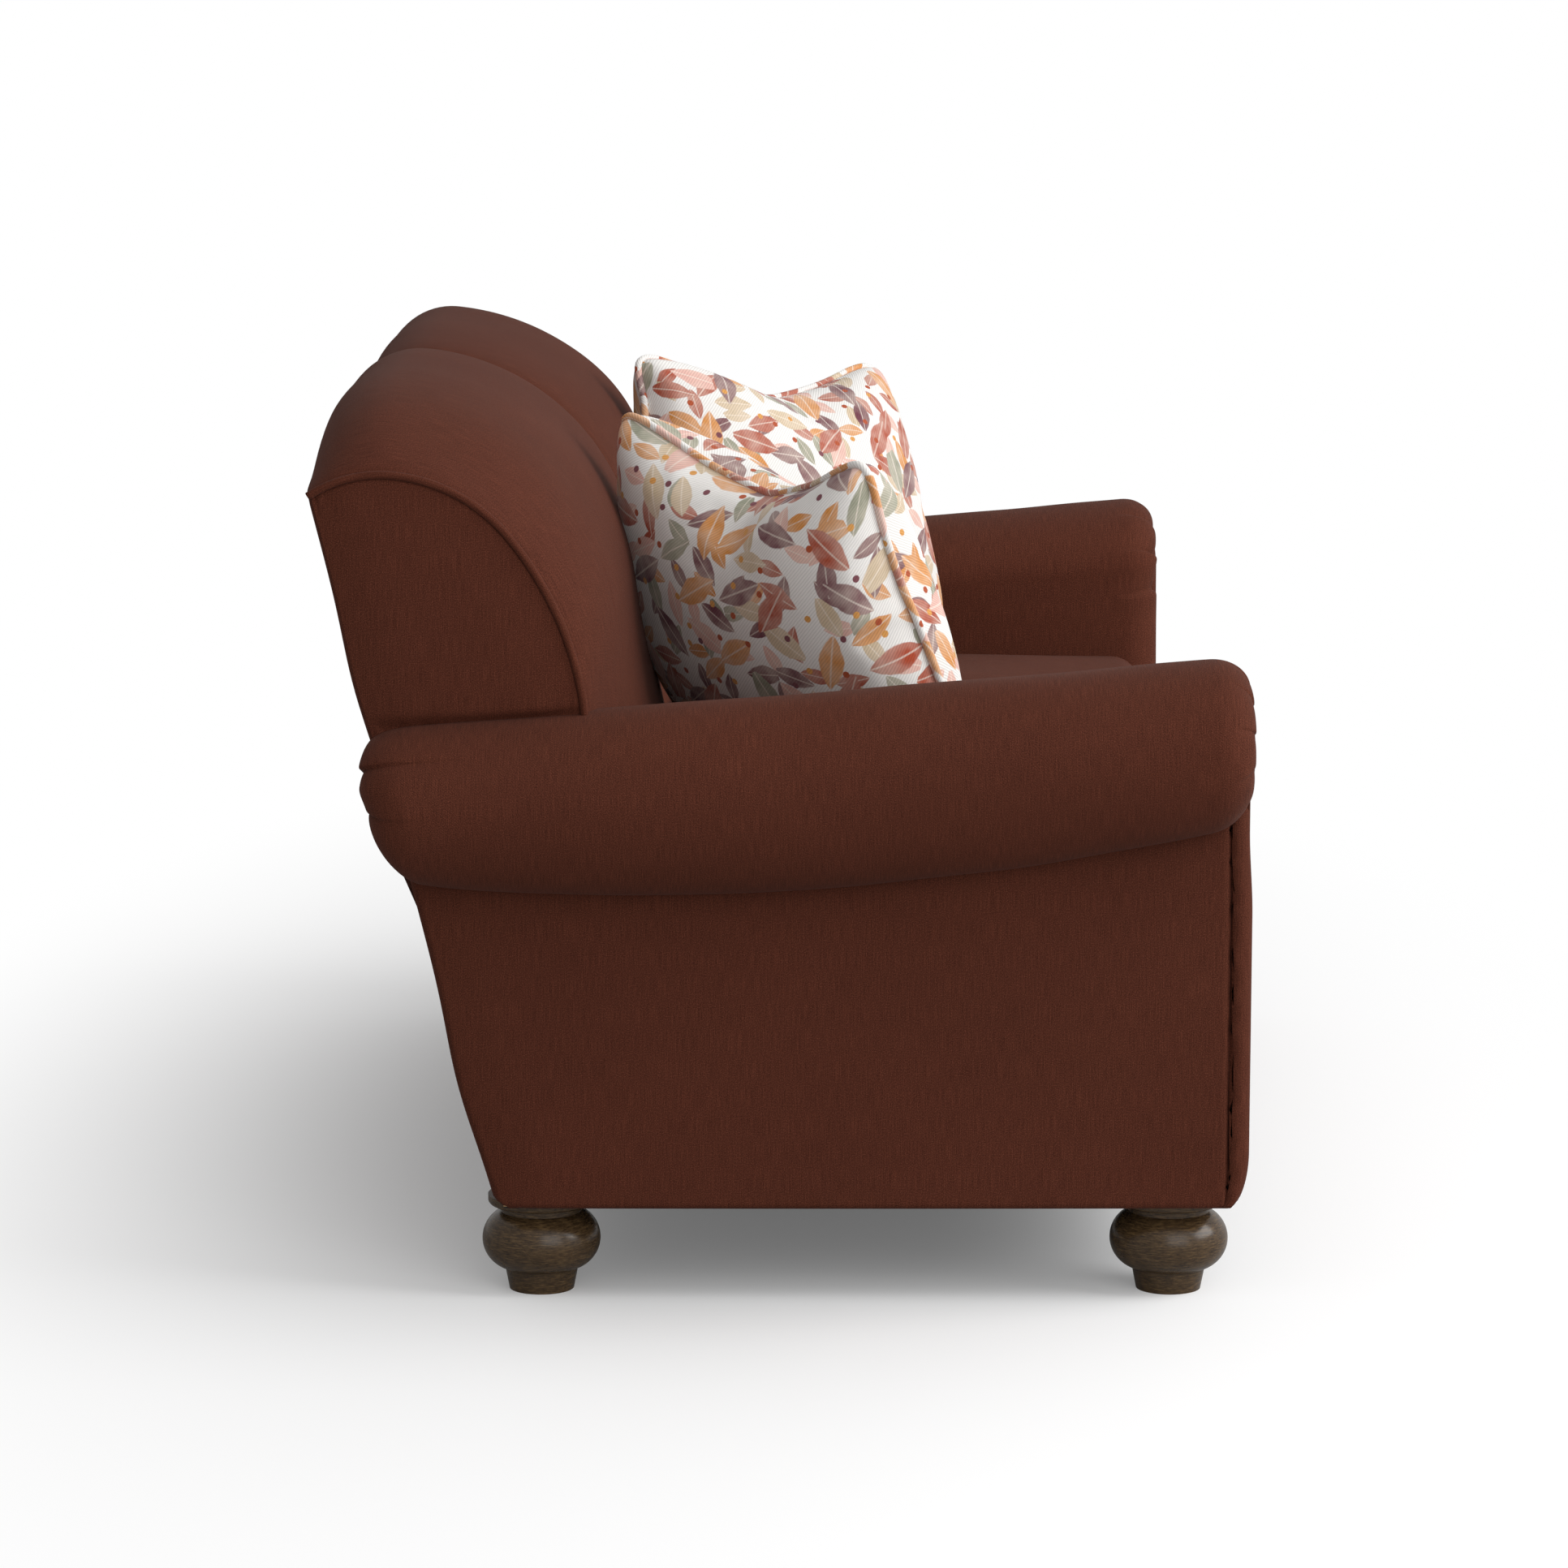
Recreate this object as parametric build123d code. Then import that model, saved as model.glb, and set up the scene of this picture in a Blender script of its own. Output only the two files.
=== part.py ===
from build123d import *
from math import cos, radians, sin, sqrt, tan
import os

# Loveseat with rolled arms. Millimetres: X along the seat, Y to the rear, Z up, floor at Z 0.

# Overall size
WIDTH = 1730.0  # over both arm rolls
DEPTH = 976.0  # arm fronts to the rearmost point of the back
FOOT_HEIGHT = 102.0  # floor to the underside of the base
GAP = 0.4  # clear space between soft pieces that lie against each other

# Back: one raked plane, two crowned cushions, flat welted ends
BACK_EDGE_HEIGHT = 849.0  # rear top corner at the ends of the back
BACK_EDGE_INSET = 3.0  # that corner, forward of the rearmost point
BACK_RAKE = 14.1  # degrees
BACK_BOTTOM = 503.0  # underside of the back cushions
SHELF_DROP = 3.0  # top of the outside back, below its corner
CREST_X = 336.0  # a cushion's highest section, from the middle seam
CENTER_SWELL = 0.76  # share of the crown that is left at the middle seam
SWELL_POWER = 3.0
BACK_STEPS = (-1.0, -0.8, -0.45, 0.0, 0.45, 0.8, 1.0)  # sections along a cushion, middle seam to end
# Points of the cushion's outline: distance forward of the rear corner, height over it
END_REAR_RISE = 0.5
END_BEND = (40.0, 16.0)
END_TOP = (93.0, 22.0)
END_SHOULDER = (210.0, -43.0)
END_FRONT = (281.0, -191.0)
END_FOOT = 275.0
CROWN_REAR_RISE = 13.0
CROWN_BEND = (36.0, 87.5)
CROWN_TOP = (78.0, 99.0)
CROWN_SHOULDER = (230.0, 36.0)
CROWN_FRONT = (324.0, -142.0)
CROWN_FOOT = 363.0
WELT_RADIUS = 3.8
WELT_CLEARANCE = 0.2

# Arms
ARM_WIDTH = 235.0  # outermost line of the roll to the inner face
ARM_TOP_FRONT = 678.7  # height of the roll at the front plane
ARM_FALL = 4.46  # degrees, lower at the rear
ARM_PAD = 30.0  # inside arm panel
ROLL_OVERHANG = 90.0  # roll beyond the outside panel
ROLL_CROWN = 110.0  # highest line, inward of the outermost one
ROLL_CAP = 95.0  # padding over the arm board
ROLL_LOW = 435.0  # lowest point of the roll's underside
ROLL_LOW_SETBACK = 635.0  # that point, behind the front plane
ROLL_LOW_RISE = 75.6  # underside at the front, higher than there
ROLL_REST = 2.5  # back cushion's ends over the nominal top of the roll
ROLL_FRONT_SET = 6.0  # roll's front end, behind the front plane
ROLL_REAR_REACH = 51.0  # roll's rear end, behind the back plane at the low point
ROLL_INNER_SHRINK = 0.7  # share of an end's rounding that the inner face takes
ROLL_UNDER_SHRINK = 0.6  # and the underside
ROLL_SHOULDER = 0.2  # where the inner face starts to round, as a share of the padding
ROLL_FRONT_ROUND = 32.0
ROLL_REAR_ROUND = 50.0
FRONT_PAD = 22.0  # arm front panel
FRONT_PAD_ROUND = 14.0
APRON_SET = 4.0  # apron face, behind the arm fronts

# Frame timber
PANEL = 8.0  # board and cloth of the outside panels
RAIL = 25.0
POST = 26.0  # back posts, front to rear
POST_WIDTH = 60.0
ARM_POST_WIDTH = 80.0
SIDE_RAIL_TALL = 160.0
CENTER_RAIL_TALL = 140.0
TOP_RAIL_TALL = 56.0
ARM_BOARD = 22.0
BLOCK_WIDE = 100.0
BLOCK_DEEP = 95.0
BLOCK_TALL = 50.0

# Feet
FOOT_INSET = 160.0  # centre, inward of the roll's outermost line
FRONT_FOOT_SETBACK = 79.0  # centre, behind the front plane
REAR_FOOT_INSET = 44.4  # centre, in front of the foot of the outside back
FOOT_BASE_RADIUS = 34.0
FOOT_BASE_TOP_RADIUS = 38.5
FOOT_BASE_TALL = 23.0
FOOT_BULB_RADIUS = 62.3
FOOT_BULB_HEIGHT = 55.0
FOOT_NECK_RADIUS = 43.0
FOOT_NECK_DROP = 18.0  # top of the bulb, below the base of the frame
FOOT_COLLAR_RADIUS = 56.0
FOOT_COLLAR_TALL = 10.5
FOOT_COLLAR_ROUND = 5.0
BOLT_RADIUS = 4.0
BOLT_IN_FOOT = 40.0
BOLT_IN_BLOCK = 40.0
INSERT_RADIUS = 6.5
INSERT_TALL = 25.0
BOLT_CLEARANCE = 0.1
DUST_COVER = 1.5
DUST_COVER_CLEARANCE = 2.0

# Seat: a deck that falls to the rear, on springs
DECK_HEIGHT = 326.0  # top of the deck at its front edge
SEAT_PITCH = 1.5  # degrees
DECK = 12.0
SEAT_FRONT_SET = 2.0  # cushion front, behind the deck's front edge
SEAT_DEEP = 680.0
SEAT_THICK = 168.0
SEAT_CROWN_WIDE = 16.0  # rise of the top across the cushion
SEAT_CROWN_DEEP = 10.0  # rise of the top from front to rear
SEAT_SIDE_DRAW = 5.0  # sides pulled in between the corners
SEAT_SIDE_SWELL = 3.0
SEAT_CROWN_LEAST = 0.2  # share of the crown left at the front and rear edges
SEAT_SIDE_SHRINK = 0.6  # share of an end's rounding that each side takes
SEAT_UNDER_SHRINK = 0.5  # and the underside
SEAT_FRONT_ROUND = 36.0
SEAT_REAR_ROUND = 26.0
SEAT_COVER = 4.0
PAD_CLEARANCE = 7.0  # cushion rear to the lower back pad
WIRE_RADIUS = 1.9
SPRINGS_PER_SEAT = 4
SPRING_HALF = 26.0  # half of a spring's width
SPRING_TURNS = 18
SPRING_BEND = 0.48  # radius of a bend, as a share of the distance between rungs
CLIP_WALL = 1.5
CLIP_WIDE = 9.0
CLIP_DEEP = 12.0
WIRE_CLEARANCE = 0.15
WEBBING = 2.0
WEBBING_TALL = 55.0
WEBBING_HEIGHTS = (560.0, 650.0, 740.0)
WEBBING_END_INSET = 27.0

# Throw pillows
PILLOW_WIDE = 438.0
PILLOW_TALL = 390.0
PILLOW_THICK = 176.0
PILLOW_DRAW = 12.0  # side and bottom edges pulled in between the corners
PILLOW_DIP = 40.0  # top edge pressed down between the corners
PILLOW_BULGE = 0.11  # roundness of the outline near the top of the crown
PILLOW_LEVELS = (0.0, 0.3, 0.58, 0.8, 0.94, 0.995)
PILLOW_FORM = 4 / 3  # power of the crown's rise over the seam
PILLOW_FADE = 4  # power at which the drawn-in outline fades above the seam
PILLOW_COVER = 3.0
PILLOW_TURN = 44.0  # degrees, towards the corner
PILLOW_LEAN = 18.0  # degrees, backwards
PILLOW_ROLL = 3.0  # degrees, rear corner higher
PILLOW_FROM_ARM = 242.0  # centre to the inner face of the arm
PILLOW_FROM_FRONT = 477.0  # centre to the front plane
PILLOW_WELT_RADIUS = 4.5
PILLOW_WELT_GAP = 1.0  # welt to the seam between the corners
PILLOW_CORNER = 14.0  # round of the corners
WELT_SAMPLES = 200  # points along the welt when it is set down on the seat
LOWEST_SAMPLES = 50  # of these, the ones that are compared with the seat
UPWARD = 0.5  # least upward part of the normal of a face that it can lie on
PILLOW_SEAM_CORNER = 9.0  # corners of the seam, inside the welt's line

# Worked out from the sizes above
FRONT_Y = -DEPTH / 2
SEAM_Y = FRONT_Y + FRONT_PAD
OUTER_X = WIDTH / 2 - ROLL_OVERHANG
FRAME_X = OUTER_X - PANEL
INNER_X = WIDTH / 2 - ARM_WIDTH
PAD_X = INNER_X + ARM_PAD
SHELF_Z = BACK_EDGE_HEIGHT - SHELF_DROP
FRAME_FRONT = PANEL + POST  # insets from the outside back plane
CUSHION_INSET = FRAME_FRONT + WEBBING + GAP
CORNER_Y = DEPTH / 2 - BACK_EDGE_INSET
DECK_PLANE = Plane(
    origin=(0, SEAM_Y, DECK_HEIGHT),
    x_dir=(1, 0, 0),
    z_dir=(0, sin(radians(SEAT_PITCH)), cos(radians(SEAT_PITCH))),
)
CLIP_TOP = -DECK - GAP
WIRE_Z = CLIP_TOP - CLIP_WALL - WIRE_RADIUS
RAIL_TOP = WIRE_Z - WIRE_RADIUS - WIRE_CLEARANCE
SEAT_HALF = (INNER_X - 2 * GAP) / 2
SEAT_CENTER = INNER_X / 2
ROUND_ANGLES = (0, 30, 60, 90)  # steps over a rounded end
LONG_SHARES = (0.25, 0.5, 0.75)  # steps along a long piece

os.makedirs("parts", exist_ok=True)


# Shared forms
def save(shape, node):
    export_step(shape, f"parts/{node}.step")


def save_pair(shape, node):
    """The right-hand piece as modelled, and its mirror image on the left."""
    save(shape, f"{node}_right")
    save(mirror(shape, about=Plane.YZ), f"{node}_left")


def slab(outline, x_low, x_high):
    """A flat piece: an outline of (y, z) corners, thick along X."""
    corners = [(x_low, y, z) for y, z in outline]
    return extrude(make_face(Polyline(*corners, close=True)), amount=x_high - x_low, dir=(1, 0, 0))


def rear_y(z, inset=0.0):
    """The raked outside back, or a plane at an inset in front of it."""
    return CORNER_Y - (BACK_EDGE_HEIGHT - z) * tan(radians(BACK_RAKE)) - inset


def raked(inset_rear, inset_front, z_low, z_high):
    """Outline of a piece that lies in the raked back."""
    return [
        (rear_y(z_low, inset_front), z_low),
        (rear_y(z_low, inset_rear), z_low),
        (rear_y(z_high, inset_rear), z_high),
        (rear_y(z_high, inset_front), z_high),
    ]


def deck_z(y, drop=0.0):
    """Height of the deck's top plane, or of a plane a square distance under it."""
    pitch = radians(SEAT_PITCH)
    return DECK_HEIGHT - (y - SEAM_Y) * tan(pitch) + drop / cos(pitch)


def arm_top(y):
    return ARM_TOP_FRONT - (y - FRONT_Y) * tan(radians(ARM_FALL))


def board_top(y):
    return arm_top(y) - ROLL_CAP


def roll_low(y):
    along = (FRONT_Y + ROLL_LOW_SETBACK - y) / ROLL_LOW_SETBACK
    return ROLL_LOW + ROLL_LOW_RISE * along**2


def round_steps(radius):
    """Steps over a rounded end: distance from the end, and how far the section shrinks there."""
    return [(radius * (1 - cos(radians(a))), radius * (1 - sin(radians(a)))) for a in ROUND_ANGLES]


def quarter_arc(center, start, end):
    """An arc through the halfway point of a quarter ellipse about a centre."""
    share = sqrt(0.5)
    halfway = tuple(c + share * (s - c) + share * (e - c) for c, s, e in zip(center, start, end))
    return ThreePointArc(start, halfway, end)


# Feet, with the bolts that hold them
def foot_places():
    x = WIDTH / 2 - FOOT_INSET
    front = FRONT_Y + FRONT_FOOT_SETBACK
    rear = rear_y(FOOT_HEIGHT, REAR_FOOT_INSET)
    return {
        "front_left": (-x, front),
        "front_right": (x, front),
        "rear_left": (-x, rear),
        "rear_right": (x, rear),
    }


def foot():
    neck_z = FOOT_HEIGHT - FOOT_NECK_DROP
    collar_z = FOOT_HEIGHT - FOOT_COLLAR_TALL
    collar_flat = FOOT_COLLAR_RADIUS - FOOT_COLLAR_ROUND
    base = Polyline(
        (0, 0, FOOT_HEIGHT),
        (0, 0, 0),
        (FOOT_BASE_RADIUS, 0, 0),
        (FOOT_BASE_TOP_RADIUS, 0, FOOT_BASE_TALL),
    )
    bulb = ThreePointArc(
        (FOOT_BASE_TOP_RADIUS, 0, FOOT_BASE_TALL),
        (FOOT_BULB_RADIUS, 0, FOOT_BULB_HEIGHT),
        (FOOT_NECK_RADIUS, 0, neck_z),
    )
    neck = Polyline(
        (FOOT_NECK_RADIUS, 0, neck_z),
        (FOOT_NECK_RADIUS, 0, collar_z),
        (collar_flat, 0, collar_z),
    )
    edge_start = (collar_flat, 0, collar_z)
    edge_end = (FOOT_COLLAR_RADIUS, 0, collar_z + FOOT_COLLAR_ROUND)
    edge_center = (collar_flat, 0, collar_z + FOOT_COLLAR_ROUND)
    edge = quarter_arc(edge_center, edge_start, edge_end)
    top = Polyline(
        (FOOT_COLLAR_RADIUS, 0, collar_z + FOOT_COLLAR_ROUND),
        (FOOT_COLLAR_RADIUS, 0, FOOT_HEIGHT),
        (0, 0, FOOT_HEIGHT),
    )
    turned = revolve(make_face([base, bulb, neck, edge, top]), axis=Axis.Z)
    downward = (Align.CENTER, Align.CENTER, Align.MAX)
    bore = Cylinder(BOLT_RADIUS + BOLT_CLEARANCE, BOLT_IN_FOOT + BOLT_CLEARANCE, align=downward)
    return turned - Pos(0, 0, FOOT_HEIGHT) * bore


def make_feet():
    upright = (Align.CENTER, Align.CENTER, Align.MIN)
    bolt = Cylinder(BOLT_RADIUS, BOLT_IN_FOOT + BOLT_IN_BLOCK, align=upright)
    bolt = Pos(0, 0, FOOT_HEIGHT - BOLT_IN_FOOT) * bolt
    insert = Cylinder(INSERT_RADIUS, INSERT_TALL, align=upright)
    insert -= Cylinder(BOLT_RADIUS + BOLT_CLEARANCE, INSERT_TALL, align=upright)
    insert = Pos(0, 0, FOOT_HEIGHT) * insert
    turned = foot()
    places = foot_places()
    for name, (x, y) in places.items():
        save(Pos(x, y, 0) * turned, f"foot_{name}")
    save(Compound([Pos(x, y, 0) * bolt for x, y in places.values()]), "hanger_bolts")
    save(Compound([Pos(x, y, 0) * insert for x, y in places.values()]), "foot_inserts")


def foot_block(foot_y, y_low):
    """A glued corner block, drilled for the insert and the bolt's end."""
    upright = (Align.CENTER, Align.CENTER, Align.MIN)
    x_low = FRAME_X - RAIL - BLOCK_WIDE
    block = Pos(x_low, y_low, FOOT_HEIGHT) * Box(BLOCK_WIDE, BLOCK_DEEP, BLOCK_TALL, align=(Align.MIN,) * 3)
    foot_x = WIDTH / 2 - FOOT_INSET
    drill = Cylinder(INSERT_RADIUS + BOLT_CLEARANCE, INSERT_TALL + BOLT_CLEARANCE, align=upright)
    drill += Cylinder(BOLT_RADIUS + BOLT_CLEARANCE, BOLT_IN_BLOCK + BOLT_CLEARANCE, align=upright)
    return block - Pos(foot_x, foot_y, FOOT_HEIGHT) * drill


def make_foot_blocks():
    front = foot_block(FRONT_Y + FRONT_FOOT_SETBACK, SEAM_Y + RAIL)
    rear = foot_block(rear_y(FOOT_HEIGHT, REAR_FOOT_INSET), rear_y(FOOT_HEIGHT, FRAME_FRONT) - BLOCK_DEEP)
    blocks = [front, rear, mirror(front, about=Plane.YZ), mirror(rear, about=Plane.YZ)]
    save(Compound(blocks), "foot_blocks")


# Timber frame
def make_base_rails():
    rail_back = SEAM_Y + RAIL
    post_x = FRAME_X - ARM_POST_WIDTH
    front = [
        (SEAM_Y, FOOT_HEIGHT),
        (rail_back, FOOT_HEIGHT),
        (rail_back, deck_z(rail_back, RAIL_TOP)),
        (SEAM_Y, deck_z(SEAM_Y, RAIL_TOP)),
    ]
    save(slab(front, -post_x, post_x), "front_rail")
    side_top = FOOT_HEIGHT + SIDE_RAIL_TALL
    side = [
        (rail_back, FOOT_HEIGHT),
        (rear_y(FOOT_HEIGHT, FRAME_FRONT), FOOT_HEIGHT),
        (rear_y(side_top, FRAME_FRONT), side_top),
        (rail_back, side_top),
    ]
    save_pair(slab(side, FRAME_X - RAIL, FRAME_X), "side_rail")
    center_top = FOOT_HEIGHT + CENTER_RAIL_TALL
    center = [
        (rail_back, FOOT_HEIGHT),
        (rear_y(FOOT_HEIGHT, FRAME_FRONT), FOOT_HEIGHT),
        (rear_y(center_top, FRAME_FRONT), center_top),
        (rail_back, center_top),
    ]
    save(slab(center, -RAIL / 2, RAIL / 2), "center_rail")
    save_pair(slab(rear_rail_outline(), POST_WIDTH / 2, FRAME_X - POST_WIDTH), "rear_rail")


def rear_rail_outline():
    outline = raked(PANEL, FRAME_FRONT, FOOT_HEIGHT, deck_z(rear_y(DECK_HEIGHT, PANEL), RAIL_TOP))
    front_y = outline[3][0]
    outline[3] = (front_y, deck_z(front_y, RAIL_TOP))
    return outline


def make_back_frame():
    rail_low = SHELF_Z - TOP_RAIL_TALL
    post = raked(PANEL, FRAME_FRONT, FOOT_HEIGHT, rail_low)
    save_pair(slab(post, FRAME_X - POST_WIDTH, FRAME_X), "back_post")
    save(slab(post, -POST_WIDTH / 2, POST_WIDTH / 2), "back_center_post")
    save(slab(raked(PANEL, FRAME_FRONT, rail_low, SHELF_Z), -FRAME_X, FRAME_X), "back_top_rail")
    straps = []
    strap_x = FRAME_X - WEBBING_END_INSET
    for z in WEBBING_HEIGHTS:
        outline = raked(FRAME_FRONT, FRAME_FRONT + WEBBING, z - WEBBING_TALL / 2, z + WEBBING_TALL / 2)
        straps.append(slab(outline, -strap_x, strap_x))
    save(Compound(straps), "back_webbing")


def arm_board_end(drop):
    """Where a line under the board's top meets the front of the back post."""
    rake = tan(radians(BACK_RAKE))
    fall = tan(radians(ARM_FALL))
    y = (rear_y(board_top(0) - drop, FRAME_FRONT)) / (1 + rake * fall)
    return (y, board_top(y) - drop)


def make_arm_frame():
    board = [
        (SEAM_Y, board_top(SEAM_Y) - ARM_BOARD - GAP),
        arm_board_end(ARM_BOARD + GAP),
        arm_board_end(GAP),
        (SEAM_Y, board_top(SEAM_Y) - GAP),
    ]
    save_pair(slab(board, PAD_X, FRAME_X), "arm_board")
    post_back = SEAM_Y + RAIL
    post = [
        (SEAM_Y, FOOT_HEIGHT),
        (post_back, FOOT_HEIGHT),
        (post_back, board_top(post_back) - ARM_BOARD - GAP),
        (SEAM_Y, board_top(SEAM_Y) - ARM_BOARD - GAP),
    ]
    save_pair(slab(post, FRAME_X - ARM_POST_WIDTH, FRAME_X), "arm_post")


# Arm upholstery
def roll_section(y, shrink):
    """Section of the right arm roll: over the board, round the crown and under to the side panel."""
    inner = INNER_X + shrink * ROLL_INNER_SHRINK
    outer = WIDTH / 2 - shrink
    crown = WIDTH / 2 - ROLL_CROWN
    side = OUTER_X + GAP / 2
    base = board_top(y)
    top = arm_top(y) - shrink
    low = roll_low(y) + shrink * ROLL_UNDER_SHRINK
    middle = (top + low) / 2
    shoulder = base + (top - base) * ROLL_SHOULDER
    edges = [
        Line((inner, y, base), (inner, y, shoulder)),
        quarter_arc((crown, y, shoulder), (inner, y, shoulder), (crown, y, top)),
        quarter_arc((crown, y, middle), (crown, y, top), (outer, y, middle)),
        quarter_arc((side, y, middle), (outer, y, middle), (side, y, low)),
        Polyline((side, y, low), (side, y, base), (inner, y, base)),
    ]
    return make_face(edges)


def arm_roll():
    front = FRONT_Y + ROLL_FRONT_SET
    rear = rear_y(ROLL_LOW) + ROLL_REAR_REACH
    stations = [(front + d, shrink) for d, shrink in round_steps(ROLL_FRONT_ROUND)]
    plain_front = front + ROLL_FRONT_ROUND
    plain_rear = rear - ROLL_REAR_ROUND
    stations += [(plain_front + (plain_rear - plain_front) * share, 0.0) for share in LONG_SHARES]
    stations += [(rear - d, shrink) for d, shrink in reversed(round_steps(ROLL_REAR_ROUND))]
    roll = loft([roll_section(y, shrink) for y, shrink in stations], ruled=True)
    behind = [
        (rear_y(FOOT_HEIGHT, CUSHION_INSET), FOOT_HEIGHT),
        (DEPTH, FOOT_HEIGHT),
        (DEPTH, BACK_EDGE_HEIGHT),
        (rear_y(BACK_EDGE_HEIGHT, CUSHION_INSET), BACK_EDGE_HEIGHT),
    ]
    return roll - slab(behind, 0, OUTER_X + GAP / 2)


def make_arm_covers():
    save_pair(arm_roll(), "arm_roll")
    rear_inset = PANEL + GAP
    top_rear = rear_y(board_top(rear_y(ROLL_LOW)), rear_inset)
    outside = [
        (SEAM_Y + GAP / 2, FOOT_HEIGHT),
        (rear_y(FOOT_HEIGHT, rear_inset), FOOT_HEIGHT),
        (top_rear, board_top(top_rear) - GAP),
        (SEAM_Y + GAP / 2, board_top(SEAM_Y) - GAP),
    ]
    save_pair(slab(outside, FRAME_X, OUTER_X), "arm_outside_panel")
    low_rear = rear_y(deck_z(rear_y(DECK_HEIGHT), -DECK), CUSHION_INSET)
    high_rear = arm_board_end(GAP)[0] - WEBBING - GAP
    inside = [
        (SEAM_Y + GAP / 2, deck_z(SEAM_Y, -DECK)),
        (low_rear, deck_z(low_rear, -DECK)),
        (high_rear, board_top(high_rear) - GAP),
        (SEAM_Y + GAP / 2, board_top(SEAM_Y) - GAP),
    ]
    save_pair(slab(inside, INNER_X, PAD_X), "arm_inside_panel")
    front = [
        (FRONT_Y, FOOT_HEIGHT),
        (SEAM_Y, FOOT_HEIGHT),
        (SEAM_Y, board_top(SEAM_Y) - GAP),
        (FRONT_Y, board_top(FRONT_Y) - GAP),
    ]
    panel = slab(front, INNER_X, OUTER_X)
    face_edges = panel.faces().sort_by(Axis.Y)[0].edges().sort_by(Axis.Z)
    save_pair(fillet(face_edges[:3], FRONT_PAD_ROUND), "arm_front_panel")


def make_base_covers():
    apron_front = FRONT_Y + APRON_SET
    apron_top = deck_z(SEAM_Y, -DECK)
    outline = [
        (apron_front, FOOT_HEIGHT),
        (SEAM_Y - GAP / 2, FOOT_HEIGHT),
        (SEAM_Y - GAP / 2, apron_top),
        (apron_front, apron_top),
    ]
    apron = slab(outline, -INNER_X + GAP, INNER_X - GAP)
    long_edges = apron.faces().sort_by(Axis.Y)[0].edges().filter_by(Axis.X)
    save(fillet(long_edges, FRONT_PAD_ROUND), "front_apron")
    save(slab(raked(0, PANEL, FOOT_HEIGHT, SHELF_Z), -OUTER_X, OUTER_X), "outside_back_panel")
    rear = rear_y(FOOT_HEIGHT, PANEL + GAP)
    cover = [
        (SEAM_Y, FOOT_HEIGHT - DUST_COVER),
        (rear, FOOT_HEIGHT - DUST_COVER),
        (rear, FOOT_HEIGHT),
        (SEAM_Y, FOOT_HEIGHT),
    ]
    sheet = slab(cover, -FRAME_X, FRAME_X)
    for x, y in foot_places().values():
        hole = Cylinder(FOOT_COLLAR_RADIUS + DUST_COVER_CLEARANCE, 2 * FOOT_COLLAR_TALL)
        sheet -= Pos(x, y, FOOT_HEIGHT) * hole
    save(sheet, "dust_cover")


# Back cushions
def between(low, high, share):
    return low + (high - low) * share


def back_points(swell):
    """Outline points at a share of the crown, rear to front, as (y, z)."""
    rear_z = BACK_EDGE_HEIGHT + between(END_REAR_RISE, CROWN_REAR_RISE, swell)
    points = [(rear_y(rear_z), rear_z)]
    ends = (END_BEND, END_TOP, END_SHOULDER, END_FRONT)
    crowns = (CROWN_BEND, CROWN_TOP, CROWN_SHOULDER, CROWN_FRONT)
    for end, crown in zip(ends, crowns):
        forward = between(end[0], crown[0], swell)
        points.append((CORNER_Y - forward, BACK_EDGE_HEIGHT + between(end[1], crown[1], swell)))
    points.append((CORNER_Y - between(END_FOOT, CROWN_FOOT, swell), BACK_BOTTOM))
    return points


def back_arcs(x, swell):
    """The cushion's curved outline, from the rear corner over the top and down the front."""
    rear, bend, top, shoulder, front, foot_point = [(x, y, z) for y, z in back_points(swell)]
    arcs = [ThreePointArc(rear, bend, top)]
    for end in (shoulder, front, foot_point):
        start = arcs[-1] @ 1
        arcs.append(TangentArc(start, end, tangent=arcs[-1] % 1))
    return arcs


def back_section(x, swell):
    arcs = back_arcs(x, swell)
    frame_side = Polyline(
        arcs[-1] @ 1,
        (x, rear_y(BACK_BOTTOM, CUSHION_INSET), BACK_BOTTOM),
        (x, rear_y(SHELF_Z + GAP, CUSHION_INSET), SHELF_Z + GAP),
        (x, rear_y(SHELF_Z + GAP), SHELF_Z + GAP),
        arcs[0] @ 0,
    )
    return make_face([*arcs, frame_side])


def arm_space():
    """What the arm takes up below the back cushion's ends."""
    rear = DEPTH
    outline = [(0, 0), (rear, 0), (rear, arm_top(rear) + ROLL_REST), (0, arm_top(0) + ROLL_REST)]
    return slab(outline, INNER_X - GAP, WIDTH)


def back_cushion():
    low_x = GAP / 2
    high_x = FRAME_X - GAP / 2
    sections = []
    for along in BACK_STEPS:
        edge_swell = CENTER_SWELL if along < 0 else 0.0
        reach = CREST_X - low_x if along < 0 else high_x - CREST_X
        swell = 1 - (1 - edge_swell) * abs(along) ** SWELL_POWER
        sections.append(back_section(CREST_X + reach * along, swell))
    return loft(sections) - arm_space()


def inset_arc(arc, inset):
    """The same arc, closer to its centre."""
    center = arc.arc_center
    share = (arc.radius - inset) / arc.radius
    return ThreePointArc(*[center + (arc @ along - center) * share for along in (0, 0.5, 1)])


def outside_back_space():
    """What the outside back takes up at the ends of the back, with a clear space round it."""
    return slab(raked(-DEPTH, PANEL + GAP, FOOT_HEIGHT, SHELF_Z + GAP), 0, WIDTH)


def back_end_panel():
    """The flat end of the back, inside its welt."""
    arcs = [inset_arc(arc, 2 * (WELT_RADIUS + WELT_CLEARANCE)) for arc in back_arcs(FRAME_X, 0.0)]
    corners = Polyline(arcs[-1] @ 1, (FRAME_X, CORNER_Y, BACK_BOTTOM), arcs[0] @ 0)
    panel = extrude(make_face([*arcs, corners]), amount=PANEL, dir=(1, 0, 0))
    return panel - arm_space() - outside_back_space()


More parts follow.
